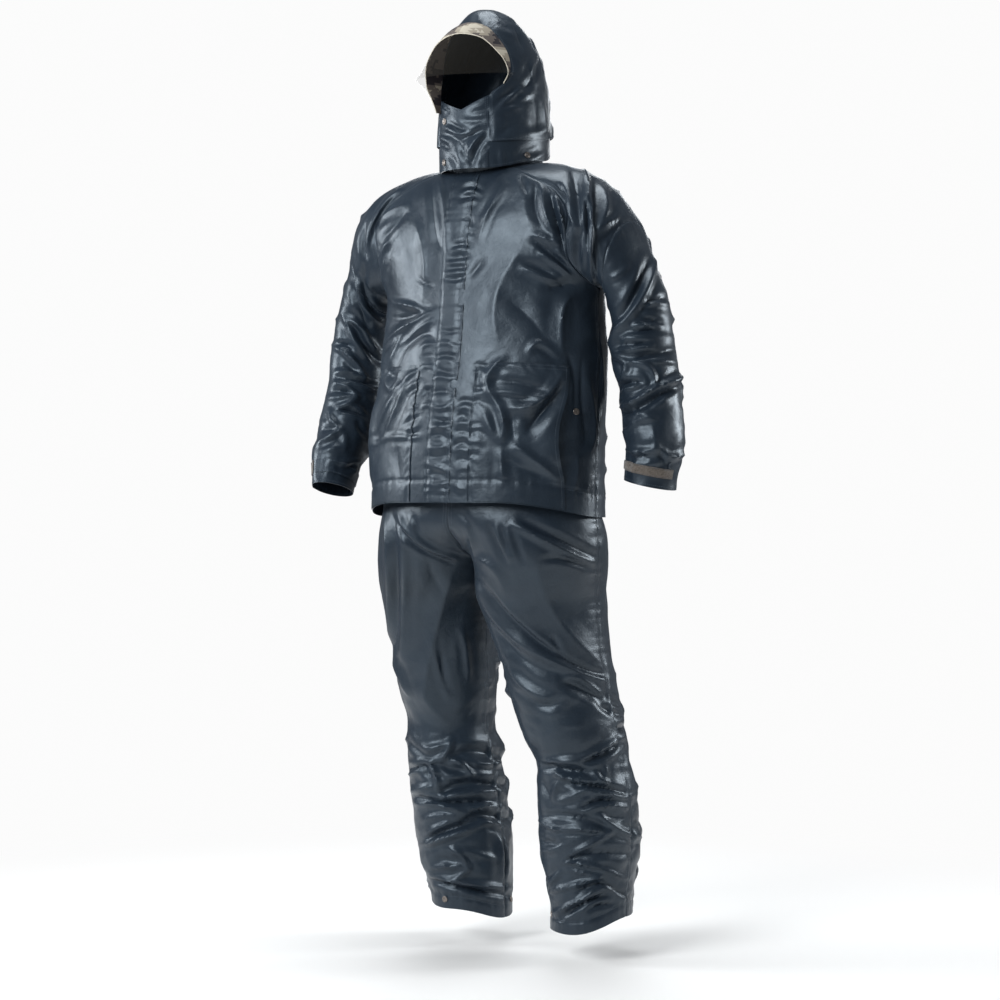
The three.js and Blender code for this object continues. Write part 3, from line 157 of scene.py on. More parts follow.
PELVIS = Table("z side seam y front back split", [
    (-736, 230, -12, 6, 147, 136, 1), (-728, 231, -11, 5, 148, 136, 0.97),
    (-716, 232, -9, 3, 149, 137, 0.9), (-697, 233, -6, 1, 150, 138, 0.78),
    (-668, 230, -2, -3, 151, 130, 0.42), (-636, 225, 2, -6, 150, 121, 0.12),
    (-600, 222, 4, -8, 147, 124, 0), (-540, 212, 4, -8, 138, 130, 0),
    (-500, 190, 3, -8, 128, 122, 0), (-470, 172, 2, -8, 118, 114, 0),
])
HEMS = {"left": (-1392, -1420, -1420, -1388), "right": (-1382, -1404, -1426, -1420)}

HOOD_YAW, HOOD_CENTRE, HOOD_WIDE, HOOD_DEEP = math.radians(-5), (5, -2, 0), 100, 112
HOOD = Table("z size shift", [
    (-20, 0.99, 0), (60, 1, 0), (120, 0.985, 0), (156, 0.955, 0), (190, 0.9, -4), (213, 0.84, -8),
    (245, 0.7, -12), (270, 0.52, -16), (285, 0.36, -20), (293, 0.2, -22), (296, 0.02, -23),
])
FACE_EDGE = Table("z left right", [
    (122, 36, 36), (145, 50, 47), (165, 58, 54), (190, 60, 53), (215, 57, 48), (240, 46, 38),
    (257, 30, 28),
])
STRIP_HALF, MASK_LOW, MASK_EDGE, HOOD_BACK, HOOD_TOP = 45, -11, 36, 153, 269
BRIM = Table("share ahead drop aside", [
    (0, 3, 3, 0), (0.16, 12, 12, 0), (0.33, 30, 24, 3), (0.5, 44, 28, 0), (0.66, 44, 20, -8),
    (0.82, 36, 5, -8), (1, 9, 0, -2),
])
VISOR_EDGE = Table("share x y level", [
    (0, 90, -52, 166), (0.25, 70, -108, 160), (0.5, 0, -156, 157), (0.72, -68, -148, 158),
    (0.88, -94, -112, 160), (1, -99, -82, 150),
])

# Folds as the photograph shows them: height, half width, and the way they run, in its pixels.
# A ridge stands up and a trough is below zero, both in millimetres; the half width is in pixels.
FRONT_SEEN = [
    (4, 3, 381, 219, 393, 211, 406, 205), (-4, 3, 384, 237, 393, 227, 404, 213),
    (5, 2.5, 390, 241, 386, 247, 384, 254), (-2.5, 3, 432, 180, 434, 225, 441, 248),
    (3, 2.5, 440, 180, 445, 214, 447, 246), (3, 2.5, 385, 256, 384, 285, 396, 303),
    (-2.5, 2.5, 418, 278, 426, 283, 433, 286), (5, 3, 396, 303, 410, 306, 424, 311),
    (-5, 6, 391, 318, 405, 317, 419, 314), (7, 4, 384, 345, 405, 328, 432, 312),
    (4, 3, 400, 345, 418, 330, 434, 319), (-4, 5, 405, 347, 420, 334, 433, 336),
    (5, 3, 390, 364, 396, 350, 402, 336), (4, 3, 384, 352, 392, 345, 397, 338),
    (-4, 5, 388, 372, 393, 376, 398, 376), (4, 3, 385, 372, 392, 390, 400, 370),
    (6, 3, 401, 385, 391, 403, 378, 431), (5, 3, 406, 388, 398, 405, 384, 437),
    (3, 3, 420, 370, 406, 380, 398, 398), (2.5, 2.5, 386, 437, 402, 437, 419, 437),
    (3, 3, 376, 445, 381, 442, 386, 438), (-3, 6, 396, 445, 397, 462, 400, 480),
    (-3, 3, 524, 178, 525, 186, 527, 194), (-4, 3, 540, 172, 545, 181, 551, 191),
    (-5, 4.5, 537, 188, 534, 205, 541, 226), (5, 3, 542, 188, 546, 214, 553, 229),
    (-8, 3, 552, 199, 557, 225, 570, 257), (7, 2.5, 556, 198, 564, 225, 571, 252),
    (4, 3, 532, 235, 545, 238, 562, 243), (-4, 3, 532, 239, 543, 246, 554, 250),
    (-6, 3, 541, 248, 555, 258, 568, 269), (5, 2.5, 541, 253, 555, 262, 568, 273),
    (-4, 4, 521, 262, 537, 267, 553, 275), (4, 4, 524, 268, 540, 275, 557, 281),
    (-6, 5, 549, 288, 560, 286, 574, 284), (6, 6, 571, 298, 562, 313, 562, 350),
    (4, 12, 522, 250, 497, 296, 498, 340), (2.5, 3, 503, 184, 489, 210, 478, 240),
    (2, 3, 508, 186, 494, 204, 483, 220), (-2.5, 3, 482, 260, 476, 268, 470, 276),
    (4, 3, 530, 350, 541, 343, 557, 357), (-3, 4, 537, 351, 546, 352, 558, 360),
    (6, 4, 503, 358, 488, 378, 492, 396), (6, 4, 491, 394, 503, 418, 502, 440),
    (4, 4, 484, 412, 490, 426, 498, 440), (-4, 4, 492, 381, 520, 383, 545, 391),
    (3, 2.5, 490, 391, 515, 394, 545, 399), (7, 5, 508, 408, 538, 403, 560, 377),
    (-9, 6, 527, 431, 543, 411, 561, 388), (5, 4, 514, 445, 530, 457, 556, 478),
    (-4, 6, 505, 462, 525, 470, 545, 476), (4, 4, 501, 450, 502, 466, 503, 482),
    (-4, 5, 512, 414, 512, 428, 515, 440), (4, 4, 590, 385, 594, 425, 590, 452),
    (-4, 4, 582, 360, 583, 400, 586, 440), (4, 4, 600, 350, 602, 385, 601, 420),
    (-5, 5, 568, 355, 575, 380, 574, 420), (3, 4, 577, 455, 577, 470, 575, 490),
    (3, 6, 415, 225, 425, 260, 422, 300), (-3, 7, 508, 300, 530, 318, 545, 340),
]
# Ridges that the stitching draws up across the storm flap and beside it.
FLAP_PUCKERS = [
    (-2.5, 2.2, 464, 190, 471, 186, 480, 189), (2, 2.2, 462, 195, 470, 191, 479, 193),
    (-2, 2.2, 461, 199, 469, 196, 478, 198), (2, 2.5, 460, 206, 468, 203, 475, 199),
    (-2.5, 3, 469, 214, 471, 220, 472, 226), (-2, 2.2, 466, 231, 470, 232, 474, 233),
    (-3, 2.2, 453, 247, 461, 244, 470, 246), (2, 2.2, 453, 251, 460, 250, 468, 250),
    (-3, 2.2, 449, 258, 458, 258, 468, 256), (2, 2.2, 450, 263, 458, 262, 466, 261),
    (-2, 2.2, 449, 269, 457, 268, 465, 268), (2, 2.2, 448, 274, 456, 273, 465, 272),
    (-2.5, 2.2, 447, 279, 456, 280, 464, 277), (-2, 2.2, 442, 330, 449, 332, 457, 330),
    (2.5, 2.5, 437, 345, 446, 343, 455, 346), (-2.5, 2.2, 438, 357, 446, 355, 455, 357),
    (2, 2.2, 437, 362, 446, 361, 455, 363), (-3, 2.5, 436, 367, 443, 371, 450, 374),
    (2.5, 2.5, 434, 379, 443, 377, 453, 380), (-4, 4, 431, 394, 441, 391, 450, 394),
    (3, 2.2, 432, 403, 441, 409, 452, 402), (-3, 2.5, 433, 417, 441, 421, 449, 421),
    (3, 2.5, 431, 429, 440, 427, 449, 430), (-3, 2.5, 431, 437, 440, 435, 449, 439),
    (3, 2.5, 430, 446, 439, 448, 448, 444), (-3, 2.5, 429, 455, 438, 457, 448, 454),
    (3, 2.5, 427, 463, 437, 467, 447, 470), (-2.5, 2.5, 430, 476, 438, 474, 446, 478),
    (2.5, 2.5, 430, 485, 438, 486, 446, 484), (-2.5, 2.5, 427, 493, 437, 495, 446, 493),
    (-2.5, 2.2, 459, 402, 466, 400, 473, 403), (2.5, 2.2, 458, 409, 465, 407, 472, 410),
    (-3, 2.2, 457, 418, 463, 415, 467, 420), (2.5, 2.2, 457, 425, 462, 423, 470, 424),
    (-2.5, 2.2, 456, 432, 463, 431, 470, 433), (-3, 2.2, 455, 446, 461, 442, 468, 445),
    (2.5, 2.2, 456, 451, 462, 450, 469, 452), (-2.5, 2.2, 457, 461, 463, 459, 469, 462),
    (2, 2.2, 458, 470, 464, 468, 469, 471), (3, 3, 455, 484, 460, 489, 466, 488),
    (-2, 2.2, 474, 366, 480, 364, 486, 368), (2, 2.2, 474, 374, 480, 372, 487, 375),
    (-2.5, 2.2, 473, 386, 479, 388, 484, 386), (2, 2.2, 473, 394, 480, 393, 487, 395),
    (-2.5, 2.2, 472, 402, 478, 401, 485, 405), (-2, 2.2, 471, 425, 475, 424, 480, 426),
    (-2.5, 2.2, 471, 434, 477, 431, 485, 435), (2, 2.2, 470, 442, 476, 441, 482, 444),
    (-2, 2.2, 469, 455, 474, 454, 480, 456), (2.5, 2.2, 421, 380, 415, 383, 409, 388),
    (-2.5, 2.2, 420, 388, 413, 391, 408, 396), (2, 2.2, 419, 406, 414, 407, 410, 409),
    (-2.5, 2.2, 420, 416, 414, 419, 405, 424), (2, 2.2, 420, 424, 413, 428, 406, 430),
    (-2, 2.2, 419, 432, 414, 434, 408, 434), (2.5, 2.5, 421, 350, 426, 345, 434, 344),
    (-2.5, 2.5, 422, 358, 428, 356, 434, 357), (2.5, 2.5, 422, 368, 427, 366, 434, 368),
    (-3, 3, 424, 396, 428, 390, 432, 396), (2.5, 2.5, 422, 408, 427, 405, 431, 408),
]
SLEEVE_SEEN = {
    "left": [
        (-6, 4, 572, 171, 577, 190, 579, 221), (7, 3, 584, 170, 588, 186, 587, 200),
        (-8, 2.2, 586, 201, 588, 225, 586, 246), (6, 2.5, 591, 200, 591, 250, 592, 288),
        (-6, 5, 595, 179, 597, 200, 594, 224), (5, 4, 601, 184, 606, 206, 598, 227),
        (5, 3, 568, 200, 571, 214, 576, 228), (-4, 3, 558, 186, 565, 197, 567, 212),
        (3, 3, 562, 183, 568, 196, 571, 208), (-9, 4, 583, 228, 577, 247, 577, 290),
        (4, 3, 595, 229, 606, 224, 619, 216), (-4, 3.5, 600, 240, 610, 233, 620, 219),
        (3, 6, 592, 260, 597, 292, 610, 322), (2.5, 2.5, 610, 278, 618, 275, 628, 267),
        (10, 3.5, 654, 261, 643, 294, 622, 324), (9, 3.5, 624, 322, 614, 336, 611, 354),
        (-8, 4, 648, 264, 638, 290, 620, 318), (-3, 2.5, 646, 300, 656, 299, 668, 298),
        (3, 2.5, 645, 305, 655, 304, 667, 304), (-3, 2.5, 641, 309, 648, 309, 656, 308),
        (-4, 3, 640, 317, 652, 320, 664, 323), (4, 2.5, 634, 325, 648, 326, 663, 327),
        (-4, 2.5, 628, 331, 645, 330, 664, 328), (3, 3, 622, 337, 640, 338, 672, 337),
        (-3, 2.5, 618, 344, 632, 344, 649, 343), (5, 2.5, 613, 352, 630, 350, 651, 347),
        (-7, 4, 629, 359, 652, 354, 677, 349), (4, 2.5, 630, 360, 652, 360, 678, 363),
        (6, 2.5, 614, 357, 620, 359, 626, 362), (6, 2.5, 626, 362, 648, 367, 655, 386),
        (-5, 3, 617, 362, 620, 370, 619, 380), (5, 2.5, 626, 364, 624, 372, 620, 379),
        (-8, 3, 618, 394, 624, 384, 641, 383), (4, 2.2, 622, 391, 632, 387, 642, 386),
        (3, 2.2, 624, 396, 637, 393, 650, 390), (8, 3, 617, 410, 640, 398, 656, 387),
        (7, 3, 656, 387, 667, 384, 680, 378), (-11, 3.5, 622, 415, 645, 404, 672, 387),
        (4, 4, 632, 412, 641, 413, 653, 418), (6, 3, 618, 443, 631, 425, 654, 418),
        (-5, 4, 620, 430, 628, 426, 640, 420), (3, 4, 660, 393, 664, 400, 658, 404),
        (6, 3, 618, 447, 640, 452, 657, 448), (6, 3, 657, 448, 672, 457, 686, 452),
        (-6, 3, 628, 451, 630, 457, 629, 463), (-6, 2.5, 629, 466, 637, 458, 649, 457),
        (4, 2.5, 632, 470, 642, 466, 651, 461), (-5, 2.5, 659, 451, 662, 456, 666, 461),
        (4, 2.2, 644, 467, 651, 465, 658, 463), (-4, 2.2, 656, 470, 664, 466, 674, 468),
        (7, 4, 682, 373, 677, 379, 668, 383), (4, 8, 652, 425, 655, 440, 653, 452),
    ],
    "right": [
        (-5, 2.5, 365, 226, 363, 241, 366, 258), (4, 2.5, 376, 232, 377, 240, 376, 248),
        (6, 3, 402, 189, 379, 214, 368, 246), (-4, 2.5, 399, 195, 383, 212, 373, 236),
        (7, 3, 361, 281, 362, 302, 380, 323), (-6, 3, 366, 296, 371, 308, 380, 314),
        (-6, 3, 351, 286, 360, 305, 372, 345), (-4, 2.5, 353, 310, 358, 318, 363, 326),
        (7, 3, 349, 320, 364, 330, 375, 348), (-5, 2.5, 352, 325, 359, 333, 366, 342),
        (5, 3, 343, 313, 350, 330, 358, 346), (5, 3, 351, 336, 359, 347, 369, 360),
        (-7, 3, 357, 336, 370, 350, 381, 363), (5, 2.5, 361, 333, 371, 345, 381, 356),
        (-6, 2.5, 336, 344, 344, 344, 353, 348), (7, 2.5, 336, 348, 354, 361, 366, 379),
        (-4, 6, 342, 362, 349, 366, 356, 372), (6, 2.5, 337, 372, 350, 373, 365, 379),
        (-6, 2.5, 338, 377, 356, 381, 376, 386), (5, 2.5, 344, 380, 360, 384, 378, 393),
        (7, 2.5, 336, 383, 348, 388, 357, 396), (-5, 3, 331, 391, 342, 391, 353, 391),
        (4, 2.5, 328, 398, 342, 398, 356, 396), (6, 2.5, 357, 397, 346, 405, 330, 410),
        (-8, 2.5, 332, 409, 350, 410, 366, 417), (-6, 3.5, 360, 404, 367, 408, 371, 415),
        (6, 2.5, 330, 412, 333, 422, 341, 430), (6, 2.5, 341, 430, 331, 436, 318, 444),
        (-5, 3, 321, 430, 329, 428, 337, 427), (4, 3, 343, 431, 345, 441, 344, 452),
        (4, 3, 343, 447, 331, 449, 319, 453), (-5, 2.5, 358, 420, 361, 429, 368, 437),
        (-7, 3, 334, 466, 345, 469, 353, 464), (5, 2.5, 330, 460, 345, 463, 362, 460),
        (5, 2.5, 352, 474, 357, 468, 361, 461), (-5, 3, 357, 472, 361, 465, 366, 458),
        (4, 2.5, 326, 473, 332, 470, 338, 474), (-4, 3, 364, 266, 364, 280, 364, 294),
    ],
}
LEG_SEEN = {
    "right": [
        (-6, 4, 392, 514, 396, 580, 394, 645), (5, 3, 385, 512, 389, 590, 389, 650),
        (5, 3, 389, 650, 398, 672, 408, 696), (3, 4, 404, 540, 404, 600, 401, 660),
        (5, 2.5, 398, 513, 416, 540, 456, 559), (-5, 2.5, 396, 519, 415, 545, 452, 562),
        (3, 2.5, 411, 518, 420, 540, 452, 555), (-3, 3, 413, 516, 416, 524, 419, 532),
        (-4, 5, 429, 563, 433, 577, 443, 592), (6, 8, 451, 578, 438, 620, 424, 690),
        (4, 6, 424, 690, 430, 705, 447, 722), (3, 3, 432, 638, 438, 665, 448, 696),
        (-3, 3, 440, 655, 443, 675, 447, 690), (3, 3, 462, 630, 467, 655, 469, 680),
        (-3, 3, 410, 742, 420, 752, 432, 758), (5, 3, 424, 749, 438, 747, 451, 741),
        (6, 3, 451, 741, 448, 750, 440, 761), (4, 3, 412, 764, 425, 765, 439, 760),
        (-7, 2.5, 409, 769, 424, 766, 438, 764), (-8, 4, 440, 764, 450, 769, 462, 770),
        (-10, 4.5, 452, 757, 475, 751, 500, 756), (6, 3, 474, 763, 487, 764, 501, 762),
        (6, 2.5, 452, 759, 464, 766, 473, 777), (5, 2.5, 430, 764, 436, 776, 438, 792),
        (-6, 3, 422, 765, 426, 771, 429, 778), (5, 3, 409, 775, 414, 772, 420, 769),
        (5, 3, 412, 792, 422, 788, 434, 787), (-12, 4.5, 442, 793, 465, 784, 504, 785),
        (8, 3, 438, 800, 462, 793, 501, 790), (-8, 2.8, 414, 796, 440, 802, 491, 801),
        (6, 2.5, 418, 803, 445, 806, 468, 815), (5, 2.5, 466, 812, 478, 807, 491, 806),
        (-10, 4, 464, 818, 485, 815, 511, 819), (4, 3, 424, 820, 445, 815, 466, 816),
        (-9, 3.5, 425, 838, 450, 829, 481, 820), (5, 2.5, 423, 839, 433, 831, 446, 824),
        (7, 3, 424, 844, 450, 836, 484, 822), (5, 2.5, 479, 820, 489, 822, 501, 828),
        (5, 2.5, 452, 850, 462, 857, 469, 868), (4, 2.5, 431, 868, 450, 866, 468, 868),
        (5, 2.5, 469, 869, 461, 875, 452, 880), (3, 3, 453, 850, 476, 854, 498, 860),
        (-4, 5, 438, 858, 446, 860, 456, 864), (-8, 2.5, 433, 880, 465, 888, 509, 895),
        (6, 3, 432, 876, 465, 883, 511, 888), (5, 4, 498, 835, 505, 860, 505, 880),
        (-3, 3, 425, 772, 445, 778, 455, 783), (3, 5, 418, 852, 425, 866, 434, 876),
    ],
    "left": [
        (4, 3, 465, 519, 471, 538, 475, 558), (-4, 3, 461, 512, 468, 524, 472, 536),
        (-4, 3, 489, 526, 498, 546, 506, 563), (4, 2.5, 496, 528, 503, 546, 510, 560),
        (-4, 2.5, 500, 528, 504, 542, 507, 556), (-4, 2.5, 512, 530, 517, 546, 523, 562),
        (6, 3.5, 516, 525, 548, 542, 590, 562), (-6, 4, 522, 519, 556, 537, 592, 556),
        (-4, 3, 545, 559, 566, 560, 590, 567), (3, 4, 471, 559, 492, 568, 505, 592),
        (-5, 2.5, 474, 576, 520, 627, 560, 656), (-5, 2.5, 560, 656, 582, 668, 604, 675),
        (8, 4, 478, 588, 522, 643, 606, 681), (-4, 4, 480, 603, 515, 652, 556, 674),
        (6, 4, 508, 655, 520, 682, 548, 698), (-8, 5, 566, 683, 590, 692, 620, 706),
        (4, 8, 536, 560, 556, 616, 602, 664), (-3, 2.5, 553, 637, 557, 645, 562, 654),
        (3, 4, 487, 620, 500, 645, 506, 665), (6, 3, 566, 677, 590, 686, 622, 716),
        (-4, 4, 530, 700, 545, 706, 562, 700), (5, 3.5, 541, 761, 562, 761, 583, 759),
        (5, 3, 583, 758, 602, 750, 620, 738), (-11, 3.5, 546, 766, 568, 770, 592, 772),
        (-8, 3, 584, 762, 602, 754, 620, 744), (-6, 3, 600, 706, 612, 711, 624, 716),
        (-5, 3, 616, 730, 622, 728, 627, 727), (6, 2.5, 554, 769, 570, 779, 606, 783),
        (5, 2.5, 591, 772, 599, 777, 606, 784), (3, 2.5, 605, 764, 606, 773, 606, 781),
        (-7, 3, 568, 783, 595, 786, 627, 793), (5, 3, 583, 788, 602, 793, 622, 797),
        (-4, 4, 541, 781, 545, 790, 550, 803), (4, 3, 561, 779, 556, 786, 552, 798),
        (4, 3, 556, 802, 571, 797, 588, 789), (5, 2.5, 582, 813, 603, 806, 628, 808),
        (-5, 3, 584, 807, 598, 801, 616, 800), (7, 3, 600, 815, 617, 829, 641, 838),
        (-4, 3, 606, 817, 615, 817, 624, 818), (-6, 3, 545, 815, 575, 817, 606, 826),
        (6, 2.5, 556, 830, 580, 829, 611, 832), (5, 2.5, 538, 819, 548, 826, 557, 830),
        (5, 2.5, 611, 832, 592, 843, 565, 859), (-4, 4, 541, 838, 550, 843, 562, 844),
        (4, 3, 543, 850, 553, 849, 564, 845), (-6, 4, 565, 861, 590, 854, 627, 853),
        (6, 2.5, 563, 863, 590, 866, 625, 879), (4, 2.5, 566, 869, 584, 873, 604, 875),
        (5, 2.5, 602, 876, 580, 884, 549, 891), (5, 2.5, 548, 888, 553, 880, 560, 873),
        (-7, 3, 579, 891, 592, 885, 608, 885), (6, 2.5, 588, 896, 602, 887, 626, 900),
        (-6, 3, 609, 886, 620, 893, 632, 897), (-7, 2.5, 561, 919, 583, 903, 607, 896),
        (5, 2.5, 553, 914, 575, 903, 600, 892), (-5, 2.5, 588, 909, 600, 905, 614, 904),
        (5, 5, 630, 760, 636, 780, 636, 800), (4, 5, 634, 830, 640, 840, 638, 860),
    ],
}
HEAD_SEEN = [
    (-3, 2.5, 449, 123, 458, 128, 467, 130), (-3.5, 3, 446, 133, 455, 138, 461, 147),
    (-4, 3, 461, 147, 466, 155, 470, 163), (-4, 3, 462, 140, 472, 134, 490, 129),
    (3, 3, 450, 126, 462, 134, 476, 130), (-4.5, 3, 488, 134, 477, 150, 472, 166),
    (3.5, 3, 484, 131, 472, 147, 469, 160), (-3, 2.5, 491, 144, 485, 149, 481, 155),
    (-2.5, 2.5, 470, 113, 480, 111, 489, 109), (-2.5, 3, 462, 121, 474, 120, 487, 119),
    (3, 3, 445, 128, 452, 133, 459, 142), (-2.5, 2.5, 449, 156, 454, 161, 456, 168),
    (-3, 2.2, 442, 104, 446, 109, 450, 112), (-2.5, 2.2, 438, 111, 443, 114, 448, 116),
    (2.5, 2.2, 440, 138, 444, 139, 448, 141), (-2.5, 2.2, 441, 144, 445, 146, 448, 149),
    (-3, 3, 516, 90, 508, 94, 497, 103), (3, 2.5, 520, 90, 508, 99, 496, 110),
    (-3, 3, 529, 70, 531, 80, 525, 88), (3, 3, 534, 62, 531, 72, 534, 82),
    (-2.5, 3, 540, 58, 538, 68, 536, 78), (3, 3, 517, 88, 522, 91, 527, 93),
    (-3, 4, 504, 118, 512, 121, 522, 126), (3, 3, 498, 112, 508, 109, 518, 108),
    (-3, 3, 500, 131, 506, 128, 512, 125), (3, 4, 500, 138, 525, 135, 548, 130),
    (-2.5, 3, 512, 24, 518, 34, 523, 47), (2.5, 3, 505, 20, 514, 24, 522, 34),
    (-2.5, 2.5, 488, 14, 492, 18, 494, 24), (2.5, 2.5, 478, 14, 480, 18, 478, 24),
    (-2, 2.5, 496, 22, 504, 26, 512, 32), (3, 5, 541, 95, 543, 115, 546, 132),
    (-2.5, 4, 534, 98, 536, 115, 537, 130), (2.5, 2.5, 519, 100, 524, 97, 531, 95),
]
STRAP_SEEN = [
    (-3, 3, 514, 153, 522, 154, 536, 150), (3, 2.5, 500, 149, 502, 158, 502, 166),
    (-2.5, 2.5, 520, 149, 528, 147, 536, 144), (2.5, 3, 530, 160, 538, 157, 545, 152),
]


def vec(*parts):
    return np.stack(np.broadcast_arrays(*[np.asarray(p, float) for p in parts]), -1)


def unit(v):
    return v / np.maximum(np.linalg.norm(v, axis=-1, keepdims=True), 1e-9)


def photo_axes():
    a = math.radians(PHOTO["turn"])
    return np.array([math.cos(a), math.sin(a), 0]), np.array([-math.sin(a), math.cos(a), 0])


RIGHT, LOOK = photo_axes()


def on_photo(points):
    """Where points fall on the photograph, in its pixels."""
    away = PHOTO["away"] + points @ LOOK
    x = PHOTO["middle"] + PHOTO["focal"] * (points @ RIGHT - PHOTO["aside"]) / away
    y = PHOTO["middle"] - PHOTO["focal"] * (points[..., 2] - PHOTO["level"]) / away
    return x, y


def meets(points):
    """Whether the first and last columns of a grid are one line, as in a tube."""
    return np.linalg.norm(points[:, 0] - points[:, -1], axis=-1).max() < 1e-3


def reach_along(steps):
    return np.concatenate([[0], np.cumsum(steps)])


def normals_of(points, turned=False):
    across = np.gradient(points, axis=1)
    if meets(points):
        across[:, 0] = across[:, -1] = (points[:, 1] - points[:, -2]) / 2
    normal = unit(np.cross(across, np.gradient(points, axis=0)))
    return -normal if turned else normal


def curve_through(x1, y1, x2, y2, x3, y3):
    """Points on the smooth curve that passes through three."""
    t = np.linspace(0, 1, CURVE_POINTS)[:, None]
    a, b, c = np.array([x1, y1]), np.array([x2, y2]), np.array([x3, y3])
    control = 2 * b - (a + c) / 2
    return a * (1 - t) ** 2 + 2 * control * t * (1 - t) + c * t**2


def beside_line(spots, line):
    """How far spots lie from a line, and how far along it, from 0 to 1."""
    nearest = np.linalg.norm(spots[:, None] - line, axis=-1).argmin(1)
    best, share = np.full(len(spots), np.inf), np.zeros(len(spots))
    for first in (nearest - 1, nearest):
        k = np.clip(first, 0, len(line) - 2)
        way = line[k + 1] - line[k]
        reach = np.clip(((spots - line[k]) * way).sum(-1) / np.maximum((way**2).sum(-1), 1e-9), 0, 1)
        gap = np.linalg.norm(spots - line[k] - way * reach[:, None], axis=-1)
        share = np.where(gap < best, (k + reach) / (len(line) - 1), share)
        best = np.minimum(gap, best)
    return best, share


CURVE_POINTS = 17
# Section of a fold; places are in half widths, and "end" is the share cut off the rise at both ends.
FOLD = {"sharp": 1.4, "power": 1.05, "dip": 0.2, "dip_place": 2.1, "dip_sharp": 1.3, "reach": 4, "end": 0.03}


def profile(off):
    """Section of a fold in stiff thin nylon: a sharp crest with a shallow dip on both sides."""
    crest = np.exp(-FOLD["sharp"] * off ** FOLD["power"])
    return crest - FOLD["dip"] * np.exp(-((off - FOLD["dip_place"]) ** 2) * FOLD["dip_sharp"])


def folds_along(folds, x, y):
    """Height of the folds at places x, y on whatever plane the folds are drawn on."""
    height = np.zeros_like(x)
    for high, wide, *way in folds:
        line = curve_through(*way)
        reach = FOLD["reach"] * wide
        low, top = line.min(0) - reach, line.max(0) + reach
        near = (x > low[0]) & (x < top[0]) & (y > low[1]) & (y < top[1])
        if not near.any():
            continue
        spots = np.stack([x[near], y[near]], -1)
        off, share = beside_line(spots, line)
        end = np.sqrt(np.sin(np.pi * mix(FOLD["end"], 1 - FOLD["end"], share)))
        height[near] += high * end * profile(off / wide)
    return height


# Spans of the random draws for folds of the sides that the photograph doesn't show.
UNSEEN = {
    "slope": 17, "place": (0.03, 0.97), "half": (25, 85), "bend": 0.25,
    "rise": (0.45, 1), "wide": (0.55, 1.15),
}


def unseen_folds(seed, count, width, length, slope, high, wide):
    """Uneven folds for a side the photograph doesn't show, in millimetres on the cloth."""
    pick = np.random.default_rng(seed)
    folds = []
    for _ in range(count):
        u, v = pick.uniform(0, width), pick.uniform(*UNSEEN["place"]) * length
        turn = math.radians(pick.normal(slope, UNSEEN["slope"]) * pick.choice([-1, 1]))
        half = pick.uniform(*UNSEEN["half"])
        du, dv = half * math.cos(turn), half * math.sin(turn)
        bend = pick.uniform(-UNSEEN["bend"], UNSEEN["bend"]) * half
        middle = (u - bend * math.sin(turn), v + bend * math.cos(turn))
        rise = pick.uniform(*UNSEEN["rise"]) * high * pick.choice([1, 1, -1])
        folds.append((rise, wide * pick.uniform(*UNSEEN["wide"]), u - du, v - dv, *middle, u + du, v + dv))
    return folds


LINE_VALUES, LATTICE_SIZE = 512, 32
LATTICE_SHIFT = 500  # keeps every place on the lattice's positive side


def noise(x, seed):
    """Smooth uneven values between -1 and 1 along a line."""
    values = np.random.default_rng(seed).uniform(-1, 1, LINE_VALUES)
    i = np.floor(x).astype(int)
    t = x - i
    t = t * t * (3 - 2 * t)
    return mix(values[i % LINE_VALUES], values[(i + 1) % LINE_VALUES], t)


LATTICE = np.random.default_rng(7).uniform(0, 1, (LATTICE_SIZE,) * 3)


def lattice_cell(points, size):
    """The lattice's cell that each place lies in, and how far into it."""
    p = points / size + LATTICE_SHIFT
    corner = np.floor(p).astype(int)
    return corner, p - corner


def lattice_value(corner):
    return LATTICE[tuple(np.moveaxis(corner % LATTICE_SIZE, -1, 0))]


def noise_at(points, size):
    """Smooth uneven values between 0 and 1 through space; size is how far apart they change."""
    corner, t = lattice_cell(points, size)
    t = t * t * (3 - 2 * t)
    ends = [np.array(end) for end in np.ndindex(2, 2, 2)]
    return sum(lattice_value(corner + end) * np.where(end, t, 1 - t).prod(-1) for end in ends)


def facets_at(points, size):
    """Uneven values through space that change evenly within flat facets, between 0 and 1."""
    corner, part = lattice_cell(points, size)
    order = np.argsort(-part, axis=-1)
    part = np.concatenate([np.take_along_axis(part, order, -1), np.zeros_like(part[..., :1])], -1)
    value = lattice_value(corner) * (1 - part[..., 0])
    for k in range(3):
        corner = corner + np.eye(3, dtype=int)[order[..., k]]
        value = value + lattice_value(corner) * (part[..., k] - part[..., k + 1])
    return value


FACETS = ((64, 9.0), (30, 3.6), (15, 1.1))  # size and rise of the flat places that nylon crumples into
CRUMPLE = {
    "warp": 26, "warp_size": 70, "lean": [0.3, -0.2, 0], "squash": [1, 1, 1.3],
    "patches": (0.35, 1.45), "patch_size": 150,
}
MOST = 11.0  # how far a fold may stand off the form, in millimetres


def crumple(points, high):
    """Flat facets with sharp edges, as thin stiff cloth crumples, everywhere and uneven."""
    uneven = [noise_at(points + k * 311, CRUMPLE["warp_size"]) - 0.5 for k in (1, 2, 3)]
    slope = points + CRUMPLE["warp"] * np.stack(uneven, -1) + points[..., 2:] * CRUMPLE["lean"]
    height = sum(rise * (facets_at(slope * CRUMPLE["squash"], size) - 0.5) for size, rise in FACETS)
    return high * height * mix(*CRUMPLE["patches"], noise_at(points, CRUMPLE["patch_size"]))


def rounded_off(height):
    """Heights as they are while small, and never beyond the most that the cloth stands up."""
    return MOST * np.tanh(height / MOST)


PUCKER = {"gain": 1.45, "second_pitch": 0.47}
